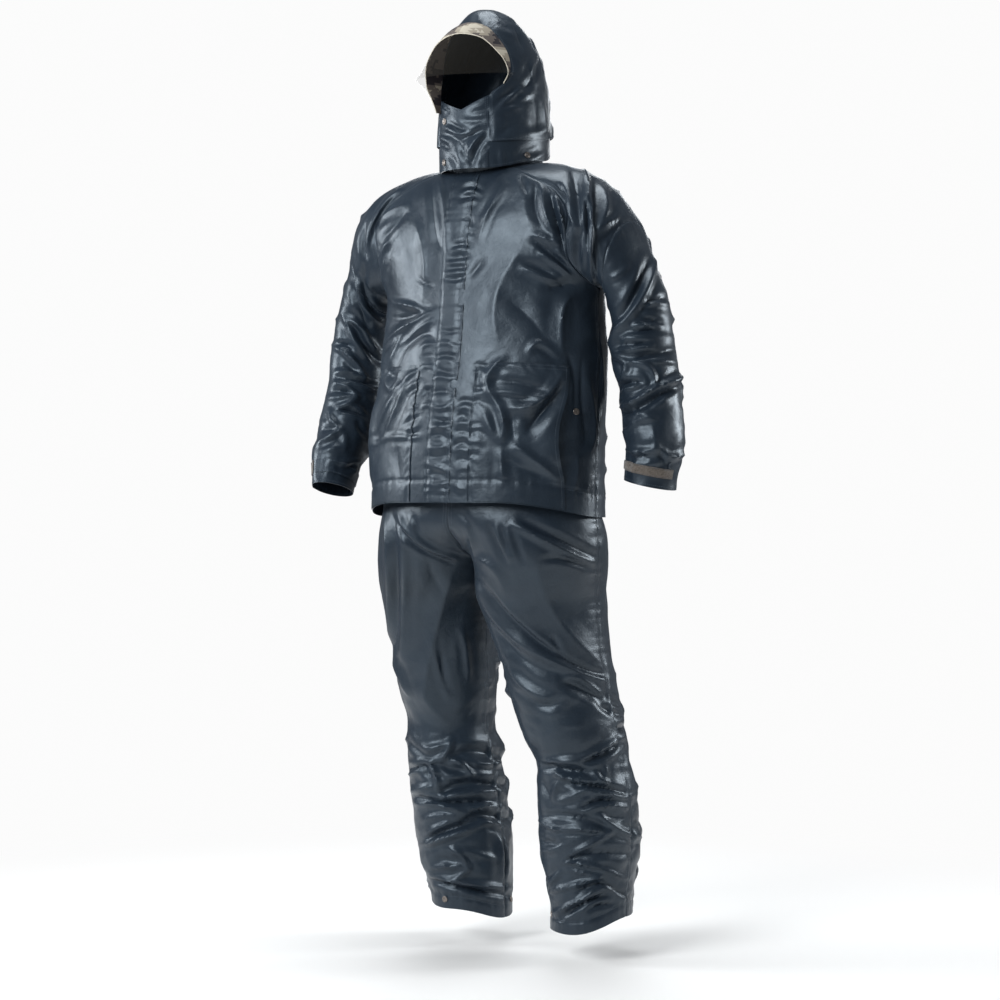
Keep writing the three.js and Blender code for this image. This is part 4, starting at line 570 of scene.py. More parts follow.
# Depth and half width of the grooves that stitching presses into the cloth.
GROOVES = {"seam": (0.9, 2.6), "stitched": (1.5, 3.0), "pocket": (1.3, 2.8), "cape": (0.9, 1.6)}


def puckers(away, along, seed, high, pitch, reach):
    """Small ripples that a seam's stitching draws into the cloth beside it."""
    ripple = noise(along / pitch, seed) + 0.5 * noise(along / (pitch * PUCKER["second_pitch"]), seed + 1)
    return PUCKER["gain"] * high * ripple * np.exp(-np.abs(away) / reach)


def groove(away, kind):
    deep, wide = GROOVES[kind]
    return deep * np.exp(-((away / wide) ** 2))


class Sheet:
    """A grid of cloth: points, normals, and the cloth's own width and length at each place."""

    def __init__(self, points, turned=False):
        self.points = points
        self.normals = normals_of(points, turned)
        step_u = np.linalg.norm(np.diff(points, axis=1), axis=-1)
        step_v = np.linalg.norm(np.diff(points, axis=0), axis=-1)
        self.u = np.concatenate([np.zeros((len(points), 1)), np.cumsum(step_u, 1)], 1)
        self.v = np.concatenate([np.zeros((1, points.shape[1])), np.cumsum(step_v, 0)], 0)
        self.width = float(self.u[:, -1].max())
        self.length = float(self.v[-1].max())
        self.from_edge = {
            "left": self.u, "right": self.u[:, -1:] - self.u, "low": self.v, "high": self.v[-1:] - self.v,
        }
        self.seen = ease(-(self.normals @ LOOK), -0.05, 0.3)  # from edge-on to in full view

    def raise_by(self, height):
        self.points = self.points + self.normals * np.asarray(height)[..., None]
        return self

    def edge_fade(self, **lengths):
        """1 inside the sheet and 0 at the edges named, over the lengths given."""
        return np.prod([ease(self.from_edge[side], 0, length) for side, length in lengths.items()], axis=0)

    def edge_puckers(self, seeds, high, pitch, reach, clear=4):
        """Ripples beside the edges named with their seeds; the edges themselves stay clear."""
        along, height = self.u + self.v, 0
        for side, seed in seeds.items():
            away = self.from_edge[side]
            height = height + puckers(away, along, seed, high, pitch, reach) * ease(away, 0, clear)
        return height

    def seen_folds(self, folds):
        return folds_along(folds, *on_photo(self.points)) * self.seen


def grid(rows, columns):
    return np.meshgrid(np.linspace(0, 1, rows), np.linspace(0, 1, columns), indexing="ij")


def cells(length):
    return max(int(round(length / GRID)), 3) + 1


# Jacket body.
def body_point(angle, z):
    a = np.radians(angle)
    deep = np.where(np.cos(a) > 0, TORSO.at("front", z), TORSO.at("back", z))
    x = TORSO.at("x", z) + TORSO.at("wide", z) * np.sin(a)
    return vec(x, TORSO.at("y", z) - deep * np.cos(a), z)


def hem_height(angle):
    return mix(HEM_FRONT, HEM_BACK, ease(np.abs(angle), 25, 95))


BODY_SHARE = 0.64  # how much of a body panel's rows lie below the armpit


def yoke_row(t):
    return np.maximum(t - BODY_SHARE, 0) / (1 - BODY_SHARE) * YOKE_ROWS


def front_point(side, share, t):
    """A place on a front: share from the centre line to the side seam, t from hem to neckline."""
    below = t <= BODY_SHARE
    angle = 90 * share
    low = mix(hem_height(angle), ARMPIT, np.minimum(t / BODY_SHARE, 1))
    centre, edge = (YOKE_FRONT.at(name, yoke_row(t)) for name in ("centre", "edge"))
    above = ARMHOLE_FRONT.at("angle", edge) * share
    z = np.where(below, low, mix(centre, edge, share))
    return body_point(side * np.where(below, angle, above), z)


def back_point(share, t):
    """A place on the back: share is 1 at the wearer's left side seam and -1 at the right."""
    below = t <= BODY_SHARE
    away = np.abs(share)
    low = mix(hem_height(180 - 90 * away), ARMPIT, np.minimum(t / BODY_SHARE, 1))
    centre, edge = (YOKE_BACK.at(name, yoke_row(t)) for name in ("centre", "edge"))
    turn = np.where(below, 90, ARMHOLE_BACK.at("angle", edge))
    z = np.where(below, low, mix(centre, edge, away))
    return body_point(180 - share * turn, z)


BODY_LONG, BODY_HALF, BACK_WIDE = 700, 372, 740  # a panel's length, half girth and back, for spacing alone
BACK_FOLDS = unseen_folds(11, 34, BACK_WIDE, 640, 62, 6.5, 12)
BACK_FOLDS += unseen_folds(12, 12, BACK_WIDE, 200, 8, 5, 11)
SIDE_FOLDS = unseen_folds(13, 8, 370, 600, 70, 5, 11)
HEM_BAND = 41  # width of the turned hem
BODY_GAIN = {"seen": 1.35, "seen_crumple": 0.35, "unseen": 1.2, "unseen_crumple": 0.6}
BAND_STEP = 0.5  # a turned hem stands up by this much


def seam_line(away, along, seed, high=0.9):
    """A seam: a narrow groove, and ripples that its stitching draws into the cloth beside it."""
    return puckers(away, along, seed, high, 9, 12) * ease(away, 0, 5) - groove(away, "seam")


def stitched(away, along, seed, high=0.8):
    """A stitched line within a piece, with cloth on both sides of it."""
    return puckers(away, along, seed, high, 8, 12) - groove(away, "stitched")


def turned_hem(above, band):
    """The double cloth of a turned hem, up to its stitched line."""
    return BAND_STEP * (1 - ease(above, band - 1, band + 1))


def body_height(sheet, share, t, back=False):
    """Everything that stands up or dips on the jacket's body, at the share and height of each place."""
    base = sheet.points
    x, y, z = np.moveaxis(base, -1, 0)
    to_seam = (1 - np.abs(share)) * BODY_HALF
    turn = 90 * np.abs(share)
    above = z - hem_height(180 - turn if back else turn)
    fade = ease(to_seam, 0, np.where(t > BODY_SHARE, 20, 9)) * ease(1 - t, 0, 0.02)
    fade *= mix(0.35, 1, ease(above, 0, 50))
    round_body = x + BACK_WIDE / 2 if back else np.abs(x) + y * 0.6 + 120  # 0 at about a front's middle
    unseen = folds_along(BACK_FOLDS if back else SIDE_FOLDS, round_body, z - HEM_BACK)
    seen = folds_along(FRONT_SEEN + FLAP_PUCKERS, *on_photo(base))
    seen = seen * BODY_GAIN["seen"] + crumple(base, BODY_GAIN["seen_crumple"])
    unseen = unseen * BODY_GAIN["unseen"] + crumple(base, BODY_GAIN["unseen_crumple"])
    height = mix(unseen, seen, sheet.seen) * fade
    height += seam_line(to_seam, z * 1.3, 21 if back else 31)
    height += stitched(np.abs(above - HEM_BAND), x + y, 23)
    return height + turned_hem(above, HEM_BAND)


def front_sheet(side):
    t, share = grid(cells(BODY_LONG), cells(BODY_HALF))
    sheet = Sheet(front_point(side, share, t), side < 0)
    return sheet.raise_by(body_height(sheet, share, t))


def back_sheet():
    t, share = grid(cells(BODY_LONG), cells(2 * BODY_HALF))
    share = share * 2 - 1
    sheet = Sheet(back_point(share, t), True)
    return sheet.raise_by(body_height(sheet, share, t, back=True))


def placket_angle(z):
    return np.degrees(np.arcsin(PLACKET_HALF / TORSO.at("wide", z)))


def flap_sheet():
    """The storm flap lies over the zip, on both fronts."""
    t, across = grid(cells(BODY_LONG), cells(2 * PLACKET_HALF))
    t = mix(0.003, 0.997, t)
    x = (across * 2 - 1) * PLACKET_HALF
    row = yoke_row(t)
    z = np.where(t <= BODY_SHARE, mix(HEM_FRONT, ARMPIT, t / BODY_SHARE), YOKE_FRONT.at("centre", row))
    edge = ARMHOLE_FRONT.at("angle", YOKE_FRONT.at("edge", row))
    angle = placket_angle(z) * np.abs(x) / PLACKET_HALF
    share = angle / np.where(t <= BODY_SHARE, 90, edge)
    sheet = Sheet(front_point(np.where(x < 0, -1, 1), share, t))
    height = body_height(sheet, share, t)
    for line in (-PLACKET_HALF + 3, PLACKET_HALF - 3, PLACKET_HALF - 9):
        height += stitched(np.abs(x - line), sheet.points[..., 2], 24, 0.7)
    return sheet.raise_by(height + ON)


# The pocket's mouth: its heights, how far it stands off, and the share by which it is drawn in.
MOUTH = {"low": -578, "high": -424, "stand": 11, "drawn": 0.06}
POCKET_LONG, POCKET_WIDE = 255, 190  # for the grid alone


def pocket_sheet(side):
    """A patch pocket: its outer edge stands off the front where the hand goes in."""
    high = BODY_SHARE * (POCKET_TOP - HEM_FRONT) / (ARMPIT - HEM_FRONT)
    t, across = grid(cells(POCKET_LONG), cells(POCKET_WIDE))
    t = mix(0.004, high, t)
    z = mix(HEM_FRONT, ARMPIT, t / BODY_SHARE)
    opened = np.clip((z - MOUTH["low"]) / (MOUTH["high"] - MOUTH["low"]), 0, 1)
    first, last = (mix(placket_angle(z), 90, s) for s in POCKET_SHARES)
    share = mix(first, last, across) / 90 - MOUTH["drawn"] * np.sin(np.pi * opened) * ease(across, 0.5, 1)
    sheet = Sheet(front_point(side, share, t), side < 0)
    height = body_height(sheet, share, t)
    height += MOUTH["stand"] * np.sin(np.pi * opened) * ease(across, 0.62, 1)
    height += sheet.edge_puckers({"high": 25, "left": 26}, 1.1, 9, 13, 3)
    height -= groove(sheet.from_edge["left"] - 6, "pocket") + groove(sheet.from_edge["high"] - 6, "pocket")
    return sheet.raise_by(height + ON)


# Sleeves. Their columns run from the neckline's summit (0) by the front of the armhole (2 to 10)
# to the armpit (10), and by its back (10 to 18) to the summit again (20).
NECK_COLUMN, UNDER_COLUMN, COLUMNS = 2, 10, 20


def seam_point(side, column):
    """The armhole seam by the sleeve's columns: neckline, front seam, back seam, neckline."""
    column = np.asarray(column, float)
    summit = np.array([side * NECK_SUMMIT[0], NECK_SUMMIT[1], NECK_SUMMIT[2]], float)
    front_end = front_point(side, np.array(1.0), np.array(1.0))
    back_end = back_point(np.array(float(side)), np.array(1.0))
    ahead, behind = (
        np.clip(away, 0, YOKE_ROWS) / YOKE_ROWS * (1 - BODY_SHARE) + BODY_SHARE
        for away in (UNDER_COLUMN - column, column - UNDER_COLUMN)
    )
    over_front = neck_curve(summit, front_end, np.clip(column / NECK_COLUMN, 0, 1))
    over_back = neck_curve(summit, back_end, np.clip((COLUMNS - column) / NECK_COLUMN, 0, 1))
    front = front_point(side, np.ones_like(column), ahead)
    back = back_point(side * np.ones_like(column), behind)
    out = np.where((column < NECK_COLUMN)[..., None], over_front, front)
    out = np.where((column > UNDER_COLUMN)[..., None], back, out)
    return np.where((column > COLUMNS - NECK_COLUMN)[..., None], over_back, out)


def neck_curve(summit, end, share):
    p = mix(summit, end, share[..., None])
    reach = mix(np.hypot(*summit[:2]), np.hypot(*end[:2]), share)
    flat = np.maximum(np.hypot(p[..., 0], p[..., 1]), 1e-6)
    return vec(p[..., 0] * reach / flat, p[..., 1] * reach / flat, p[..., 2])


def sleeve_turn(column):
    folded = np.minimum(column, COLUMNS - column)
    turn = np.interp(folded, np.arange(UNDER_COLUMN + 1), SLEEVE_TURNS)
    return np.where(column <= UNDER_COLUMN, turn, 360 - turn)


def sleeve_knots(side, column):
    table = SLEEVES[SIDES[side]].columns
    a = np.radians(sleeve_turn(column))
    share = (1 - np.cos(a)) / 2
    rings = [seam_point(side, column)]
    for k in range(LAST_RING):
        tip = math.radians(table["lean"][k])
        x = mix(table["top_x"][k], table["low_x"][k], share) + table["bow"][k] * np.sin(a) ** 2
        z = mix(table["top_z"][k], table["low_z"][k], share)
        ahead = table["deep"][k] * np.sin(a)
        rings.append(vec(side * x, table["y"][k] - ahead * math.cos(tip), z + ahead * math.sin(tip)))
    return np.array(rings)


def loft(knots, rows):
    """Rows at fractional places among the knots, on smooth curves through all of them."""
    reach = reach_along(np.linalg.norm(np.diff(knots, axis=0), axis=-1).mean(1))
    out = []
    for row in rows:
        k = min(int(row), len(knots) - 2)
        before, after = max(k - 1, 0), min(k + 2, len(knots) - 1)
        span = reach[k + 1] - reach[k]
        leave = (knots[k + 1] - knots[before]) / (reach[k + 1] - reach[before]) * span
        arrive = (knots[after] - knots[k]) / (reach[after] - reach[k]) * span
        out.append(hermite(knots[k], knots[k + 1], leave, arrive, row - k))
    return np.array(out)


def ring_places(knots, first, last):
    """Fractional rows between two rings, evenly spaced on the cloth."""
    fine = np.linspace(first, last, 200)
    reach = reach_along(np.linalg.norm(np.diff(loft(knots, fine), axis=0), axis=-1).mean(1))
    count = max(int(reach[-1] / GRID), 3)
    return np.interp(np.linspace(0, reach[-1], count + 1), reach, fine)


SLEEVE_UNSEEN = {name: unseen_folds(seed, 34, 400, 640, 24, 7, 10) for name, seed in zip(SLEEVES, (51, 52))}
# A sleeve's girth for its unseen folds, its girth for its grid, and its lowest level.
SLEEVE_ROUND, SLEEVE_WIDE, SLEEVE_LOW = 396, 430, -620
RING_STEPS = {"armhole": 55, "piecing": 70}  # how far apart the rings lie at both seams
SLEEVE_GAIN = {"seen": 1.45, "unseen": 1.3, "crumple": 0.6}
TUCK = {"under": 8.0, "down": 2.0}  # seam allowance of a sleeve, inside the body's armhole
GATHER = {"rise": 2.2, "from": (9.3, 10.8), "to": (11.3, 12)}  # folds drawn up by the cuff strap, by ring


def tucked(points, turned):
    """The grid with one more row before it, that runs on inside the armhole."""
    inward = unit(points[0] - points[2])
    row = points[0] + TUCK["under"] * inward - TUCK["down"] * normals_of(points, turned)[1]
    return np.concatenate([row[None], points])


def sleeve_sheet(side, first, last, columns=(0, COLUMNS), lift=0.0):
    """A stretch of a sleeve between two rings, all round or between two of its columns."""
    name = SIDES[side]
    share = (columns[1] - columns[0]) / COLUMNS
    column = np.linspace(*columns, cells(SLEEVE_WIDE * share))
    column = column % COLUMNS if share < 1 else column
    knots = sleeve_knots(side, column)
    rows = ring_places(knots, first, last)
    points = loft(knots, rows)
    if first == 0:
        points, rows = tucked(points, side < 0), np.concatenate([[0], rows])
    sheet = Sheet(points, side < 0)
    row = rows[:, None] + 0 * sheet.u
    turn = sleeve_turn(column)[None, :] + 0 * sheet.u
    fade = ease(row, 0.0, 0.55) * mix(0.25, 1, ease(LAST_RING - row, 0.8, 2.4))
    along = turn / 360 * SLEEVE_ROUND
    hidden = sum(
        folds_along(SLEEVE_UNSEEN[name], along + shift, sheet.points[..., 2] - SLEEVE_LOW)
        for shift in (-SLEEVE_ROUND, 0, SLEEVE_ROUND)
    )
    height = SLEEVE_GAIN["seen"] * sheet.seen_folds(SLEEVE_SEEN[name])
    height += SLEEVE_GAIN["unseen"] * hidden * (1 - sheet.seen)
    height = rounded_off(height + crumple(sheet.points, SLEEVE_GAIN["crumple"])) * fade
    height += seam_line(np.abs(row - PIECING_RING) * RING_STEPS["piecing"], along, 61)
    height += seam_line(row * RING_STEPS["armhole"], along, 62)
    drawn = ease(row, *GATHER["from"]) * (1 - ease(row, *GATHER["to"])) * np.sin(np.radians(turn)) ** 2
    height += GATHER["rise"] * drawn * noise(turn / 11, 63 if side > 0 else 64)
    return sheet.raise_by(height + lift)


# Trousers.
def leg_point(side, face, share, t):
    """A place on a leg: share from the inner edge to the outer, t from hem to waist."""
    deep_name, turn = "front" if face < 0 else "back", np.pi * share
    outer, front, inner, back = HEMS[SIDES[side]]
    hem = mix(mix(inner, outer, (1 - np.cos(turn)) / 2), front if face < 0 else back, np.sin(turn) ** 2)
    z = mix(hem, WAIST, t)
    table = LEGS[SIDES[side]]
    x = table.at("x", z) - side * table.at("wide", z) * np.cos(turn)
    low = vec(x, table.at("y", z) + face * table.at(deep_name, z) * np.sin(turn), z)
    seam, half, split = PELVIS.at("seam", z), PELVIS.at("side", z), PELVIS.at("split", z)
    middle = seam + split * (side * half - seam) / 2
    wide = half - side * middle
    start = np.arccos(np.clip(side * (middle - seam) / wide, -1, 1))
    turn = mix(start, np.pi, share)
    y = PELVIS.at("y", z) + face * PELVIS.at(deep_name, z) * np.sin(turn)
    high = vec(middle - side * wide * np.cos(turn), y, z)
    return np.where((z >= CROTCH)[..., None], high, low)


# A panel's length and width for its grid, its width and lowest level for its unseen folds.
LEG_LONG, LEG_WIDE, LEG_ROUND, LEG_LOW = 930, 325, 320, -1430
LEG_UNSEEN = {
    (name, face): sum((unseen_folds(seed, count, LEG_ROUND, *rest) for seed, count, *rest in draws), [])
    for name, face, draws in (
        ("left", 1, ((71, 34, 640, 20, 8, 13), (72, 8, 400, 60, 5, 14))),
        ("right", 1, ((73, 34, 640, 20, 8, 13), (74, 8, 400, 60, 5, 14))),
        ("left", -1, ((75, 18, 560, 20, 7, 12),)),
        ("right", -1, ((76, 18, 560, 20, 7, 12),)),
    )
}
LEG_HEM_BAND = 24
LEG_GAIN = {"seen": 1.5, "crumple": 0.7, "calm": 0.35}  # "calm" is the share of crumpling above the knee
KNEE, UNDER_JACKET = (-1010, -930), (-660, -610)  # where crumpling calms down, and where all folds end
SETTLING = {"reach": 50, "rounds": 150}


def settled(points, share):
    """The seat runs into the thighs without a crease across them."""
    near = np.exp(-(((points[..., 2] - CROTCH) / SETTLING["reach"]) ** 2)) * ease(share, 0.02, 0.2)
    for _ in range(SETTLING["rounds"]):
        points[1:-1] += 0.5 * near[1:-1, :, None] * ((points[:-2] + points[2:]) / 2 - points[1:-1])
    return points


def leg_sheet(side, face):
    name = SIDES[side]
    t, share = grid(cells(LEG_LONG), cells(LEG_WIDE))
    sheet = Sheet(settled(leg_point(side, face, share, t), share), side == face)
    base = sheet.points
    level = base[..., 2]
    height = sheet.seen_folds(LEG_SEEN[name])
    height += folds_along(LEG_UNSEEN[(name, face)], share * LEG_ROUND, level - LEG_LOW) * (1 - sheet.seen)
    calm = mix(1, LEG_GAIN["calm"], ease(level, *KNEE))
    height = rounded_off(LEG_GAIN["seen"] * height + crumple(base, LEG_GAIN["crumple"]) * calm)
    height *= ease(share, 0, 0.035) * ease(1 - share, 0, 0.035)
    height *= mix(0.3, 1, ease(sheet.v, 4, 45)) * (1 - ease(level, *UNDER_JACKET))
    for away, seed in ((1 - share, 81), (share, 82)):
        height += seam_line(away * LEG_ROUND, level * 1.2, seed + side, 1.0)
    height += stitched(np.abs(sheet.v - LEG_HEM_BAND), sheet.u, 84) * ease(share * (1 - share), 0, 0.03)
    return sheet.raise_by(height + turned_hem(sheet.v, LEG_HEM_BAND))


# Hood, mask and neck strap.
def turned_by(p, angle):
    c, s = math.cos(angle), math.sin(angle)
    return vec(c * p[..., 0] - s * p[..., 1], s * p[..., 0] + c * p[..., 1], p[..., 2])


def from_hood(p):
    return turned_by(p, HOOD_YAW) + HOOD_CENTRE


def to_hood(p):
    return turned_by(p - HOOD_CENTRE, -HOOD_YAW)


def hood_point(angle, z, out=0.0):
    a, size = np.radians(angle), HOOD.at("size", z)
    x = (HOOD_WIDE * size + out) * np.sin(a)
    y = HOOD.at("shift", z) - (HOOD_DEEP * size + out) * np.cos(a)
    return from_hood(vec(x, y, z))


def hood_low(angle):
    """Lower edge of the hood: its height by the mask, below the ear and at the nape."""
    return mix(mix(38, 45, ease(angle, MASK_EDGE, 90)), 62, ease(angle, 90, 135))


def strap_low(angle):
    """Lower edge of the cape below the hood, at the same three places."""
    return mix(mix(-10, 9, ease(angle, MASK_EDGE, 95)), 30, ease(angle, 95, 150))


HOOD_FOOT, CROWN_FRONT = 60, 249  # levels of the sides' lowest row and of the crown's front end
LAYERS = 2.35  # from the mask and the neck cape up to what lies on them
HOOD_GAIN = {"seen": 1.3, "crumple": 0.6}
MASK_GAIN = {"seen": 1.5, "crumple": 0.5}
MASK_DIP, MASK_TOP = 5, (98, 124)  # angle where the mask's top dips, and its height there and at its ends


def hood_side_point(side, share, z):
    """A place on a hood's side: share from the face opening to the back, at height z."""
    plain = mix(MASK_EDGE, HOOD_BACK, share)
    size = HOOD.at("size", z)
    seam = np.degrees(np.arcsin(np.clip(STRIP_HALF / (HOOD_WIDE * size), 0, 1)))
    face = np.where(z <= 123, MASK_EDGE, FACE_EDGE.at(SIDES[side], z))
    drawn = mix(np.maximum(seam, face), 180 - seam, share)
    angle = mix(plain, drawn, ease(z, 108, 148))
    foot = mix(hood_low(plain), 100, np.clip((z - HOOD_FOOT) / (100 - HOOD_FOOT), 0, 1))
    level = np.where(z <= 100, foot, z)
    flare = 6 * ease(drawn, 100, 150) * (1 - ease(level, 62, 120))
    on_strap = LAYERS * (1 - ease(level, 60, 100)) * ease(drawn, 36, 42)
    return hood_point(side * angle, level, flare + on_strap)


HOOD_MIDDLE = np.array([0.0, -8.0, 120.0])


def hood_hit(direction):
    """The hood's form met by rays from its middle, in its own axes."""
    near, far = np.zeros(direction.shape[:-1]), np.full(direction.shape[:-1], 400.0)
    for _ in range(40):
        reach = (near + far) / 2
        p = HOOD_MIDDLE + direction * reach[..., None]
        size = np.maximum(HOOD.at("size", p[..., 2]), 1e-3)
        across = p[..., 0] / (HOOD_WIDE * size)
        ahead = (p[..., 1] - HOOD.at("shift", p[..., 2])) / (HOOD_DEEP * size)
        inside = (p[..., 2] < HOOD.place[-1]) & (np.hypot(across, ahead) < 1)
        near, far = np.where(inside, reach, near), np.where(inside, far, reach)
    return HOOD_MIDDLE + direction * near[..., None]


def hood_side_sheet(side):
    t, share = grid(cells(222), cells(235))
    z = mix(HOOD_FOOT, HOOD_TOP, t)
    sheet = Sheet(hood_side_point(side, share, z), side < 0)
    fade = sheet.edge_fade(high=14, left=6, right=14)
    unseen = unseen_folds(91 if side > 0 else 92, 14, 235, 220, 55, 3.5, 10)
    height = HOOD_GAIN["seen"] * sheet.seen_folds(HEAD_SEEN) + crumple(sheet.points, HOOD_GAIN["crumple"])
    height = (height + folds_along(unseen, sheet.u, sheet.v) * (1 - sheet.seen)) * fade
    height += sheet.edge_puckers({"right": 93, "high": 94, "left": 95}, 0.8, 8, 11)
    return sheet.raise_by(height - groove(sheet.v - 9, "cape"))


def strip_edge(side, counts):
    """A side's edge to the centre panel: from its front end over the crown and down the back."""
    front = hood_side_point(side, np.zeros(counts[0]), np.linspace(CROWN_FRONT, HOOD_TOP, counts[0]))
    over = hood_side_point(side, np.linspace(0, 1, counts[1]), np.full(counts[1], HOOD_TOP))
    down = hood_side_point(side, np.ones(counts[2]), np.linspace(HOOD_TOP, HOOD_FOOT, counts[2]))
    return np.concatenate([front, over[1:], down[1:]])


def hood_centre_sheet():
    counts = (8, 36, 52)
    left, right = strip_edge(1, counts), strip_edge(-1, counts)
    t = np.linspace(0, 1, cells(92))[None, :, None]
    a, b = to_hood(left) - HOOD_MIDDLE, to_hood(right) - HOOD_MIDDLE
    reach = mix(np.linalg.norm(a, axis=-1)[:, None], np.linalg.norm(b, axis=-1)[:, None], t[..., 0])
    direction = unit(mix(unit(a)[:, None], unit(b)[:, None], t))
    hit = hood_hit(direction)
    flare = np.maximum(reach - np.linalg.norm(hood_hit(unit(a)) - HOOD_MIDDLE, axis=-1)[:, None], 0)
    points = from_hood(hit + direction * flare[..., None])
    points[:, 0], points[:, -1] = left, right
    sheet = Sheet(points, True)
    height = sheet.seen_folds(HEAD_SEEN) + crumple(sheet.points, 0.5)
    height *= sheet.edge_fade(left=12, right=12, low=5)
    for side, seed in (("left", 97), ("right", 98)):
        away = sheet.from_edge[side]
        height += puckers(away, sheet.v, seed, 0.9, 8, 12) * ease(away, 0, 4)
    return sheet.raise_by(height)


def mask_sheet():
    """The chin guard, over the chin and the mouth."""
    t, share = grid(cells(130), cells(138))
    angle = mix(-MASK_EDGE, MASK_EDGE, share)
    reach = np.where(angle > MASK_DIP, MASK_EDGE - MASK_DIP, MASK_EDGE + MASK_DIP)
    top = mix(*MASK_TOP, np.abs(angle - MASK_DIP) / reach)
    sheet = Sheet(hood_point(angle, mix(MASK_LOW, top, t)))
    height = MASK_GAIN["seen"] * sheet.seen_folds(HEAD_SEEN) * sheet.edge_fade(right=6, high=4)
    height += crumple(sheet.points, MASK_GAIN["crumple"]) * sheet.edge_fade(left=6, right=6, high=4)
    height += folds_along(unseen_folds(99, 5, 138, 120, 50, 2.5, 9), sheet.u, sheet.v) * (1 - sheet.seen)
    return sheet.raise_by(height + sheet.edge_puckers({"left": 101, "right": 102, "low": 103}, 0.8, 7, 10, 3))


def strap_sheet():
    """The neck cape below the hood, round by the nape."""
    t, share = grid(cells(45), cells(470))
    angle = mix(MASK_EDGE, 360 - MASK_EDGE, share)
    away = np.minimum(angle, 360 - angle)
    top = hood_low(away) + mix(-0.6, 9, ease(away, 42, 50))
    sheet = Sheet(hood_point(angle, mix(strap_low(away), top, t)))
    height = sheet.seen_folds(STRAP_SEEN) + puckers(sheet.v - 6, sheet.u, 105, 0.5, 8, 8)
    return sheet.raise_by(height * sheet.edge_fade(left=8, right=8, high=12))


def neckline(count):
    """The jacket's neckline round by the wearer's left, and the angle of the hood above it."""
    share, ones = np.linspace(0, 1, count), np.ones(count)

    def half(side):
        front = front_point(side, share, ones)
        over_front = seam_point(side, np.linspace(NECK_COLUMN, 0, count))
        over_back = seam_point(side, np.linspace(COLUMNS, COLUMNS - NECK_COLUMN, count))
        nape = back_point(side * np.linspace(1, 0, count), ones)
        return np.concatenate([front, over_front[1:], over_back[1:], nape[1:]])

    front_angle = np.interp(share, [0, 0.313, 1], [0, 6, 48])
    over = np.linspace(48, 95, count)[1:], np.linspace(95, 142, count)[1:]
    angle = np.concatenate([front_angle, *over, np.linspace(142, 180, count)[1:]])
    foot = np.concatenate([half(1), half(-1)[::-1][1:]])
    return foot, np.concatenate([angle, 360 - angle[::-1][1:]])


def collar_sheet():
    """The low stand collar, from the jacket's neckline up inside the cape."""
    foot, angle = neckline(20)
    away = np.minimum(angle, 360 - angle)
    beside = ease(away, 44, 50) * (1 - ease(away, 140, 147))
    inset = LAYERS + mix(1.6, 0.1, beside)
    top = hood_point(angle, mix(34, 46, ease(away, 60, 150)), -inset)
    t = np.linspace(0, 1, 12)
    sheet = Sheet(mix(foot[None], top[None], t[:, None, None]))
    return sheet.raise_by(0.6 * noise(sheet.u / 9, 107) * np.sin(np.pi * t)[:, None])


# Brim and visor.
LIP_POINTS, BRIM_ROWS, VISOR_ROWS = 110, 14, 26


def face_edge(count):
    """Edge of the face opening from the left temple over the top to the right cheek."""
    left = hood_side_point(1, np.zeros(5), np.array([148, 172, 196, 218, 249.0]))
    right = hood_side_point(-1, np.zeros(7), np.array([249, 218, 196, 172, 148, 124, 100.0]))
    a, b = unit(to_hood(left[-1:]) - HOOD_MIDDLE), unit(to_hood(right[:1]) - HOOD_MIDDLE)
    crown = from_hood(hood_hit(unit(mix(a, b, np.array([[0.25], [0.5], [0.75]])))))
    knots = np.concatenate([left, crown, right])
    return loft(knots[:, None], np.linspace(0, len(knots) - 1 - 1e-6, count))[:, 0]


def brim_rows():
    """The brim from the face opening out to its lip, a row of places for each step."""
    edge = to_hood(face_edge(LIP_POINTS))
    share = np.linspace(0, 1, LIP_POINTS)
    t = np.linspace(0, 1, BRIM_ROWS)[:, None]
    sag = 3 * np.sin(np.pi * t) * np.sin(np.pi * share)
    drop = BRIM.at("drop", share) * t * mix(0.6, 1, t)
    x = edge[:, 0] + BRIM.at("aside", share) * t
    y = edge[:, 1] - BRIM.at("ahead", share) * t
    return from_hood(vec(x, y, edge[:, 2] - drop + sag))


def brim_sheet():
    sheet = Sheet(brim_rows())
    middle = np.sin(np.pi * np.linspace(0, 1, BRIM_ROWS))[:, None]
    return sheet.raise_by(0.3 * noise(sheet.u / 14, 109) * middle)


def visor_sheet():
    lip = to_hood(brim_rows()[-1])
    share = np.linspace(0, 1, LIP_POINTS)
    t = np.linspace(0, 1, VISOR_ROWS)[:, None]
    end = vec(VISOR_EDGE.at("x", share), VISOR_EDGE.at("y", share), VISOR_EDGE.at("level", share))
    points = mix(lip[None], end[None], t[..., None])
    points[..., 1] -= 5 * np.sin(np.pi * t) * np.sin(np.pi * share)
    return Sheet(from_hood(points))


# Meshes.
ALL_SHEETS = {}  # every sheet that is made, with its outward normals
# Least flat width and length in metres, and the least share of width by length that a sheet fills.
FLAT_LEAST, FLAT_FILLED = 0.01, 0.35
CUT_EDGE = math.radians(70)  # the cut edge of the cloth stays sharp, while its faces are smooth


def faces_of(rows, columns, closed, turned):
    i, j = np.meshgrid(np.arange(rows - 1), np.arange(columns if closed else columns - 1), indexing="ij")
    k = (j + 1) % columns
    quads = np.stack([i * columns + j, i * columns + k, (i + 1) * columns + k, (i + 1) * columns + j], -1)
    quads = quads.reshape(-1, 4)
    return quads[:, ::-1] if turned else quads


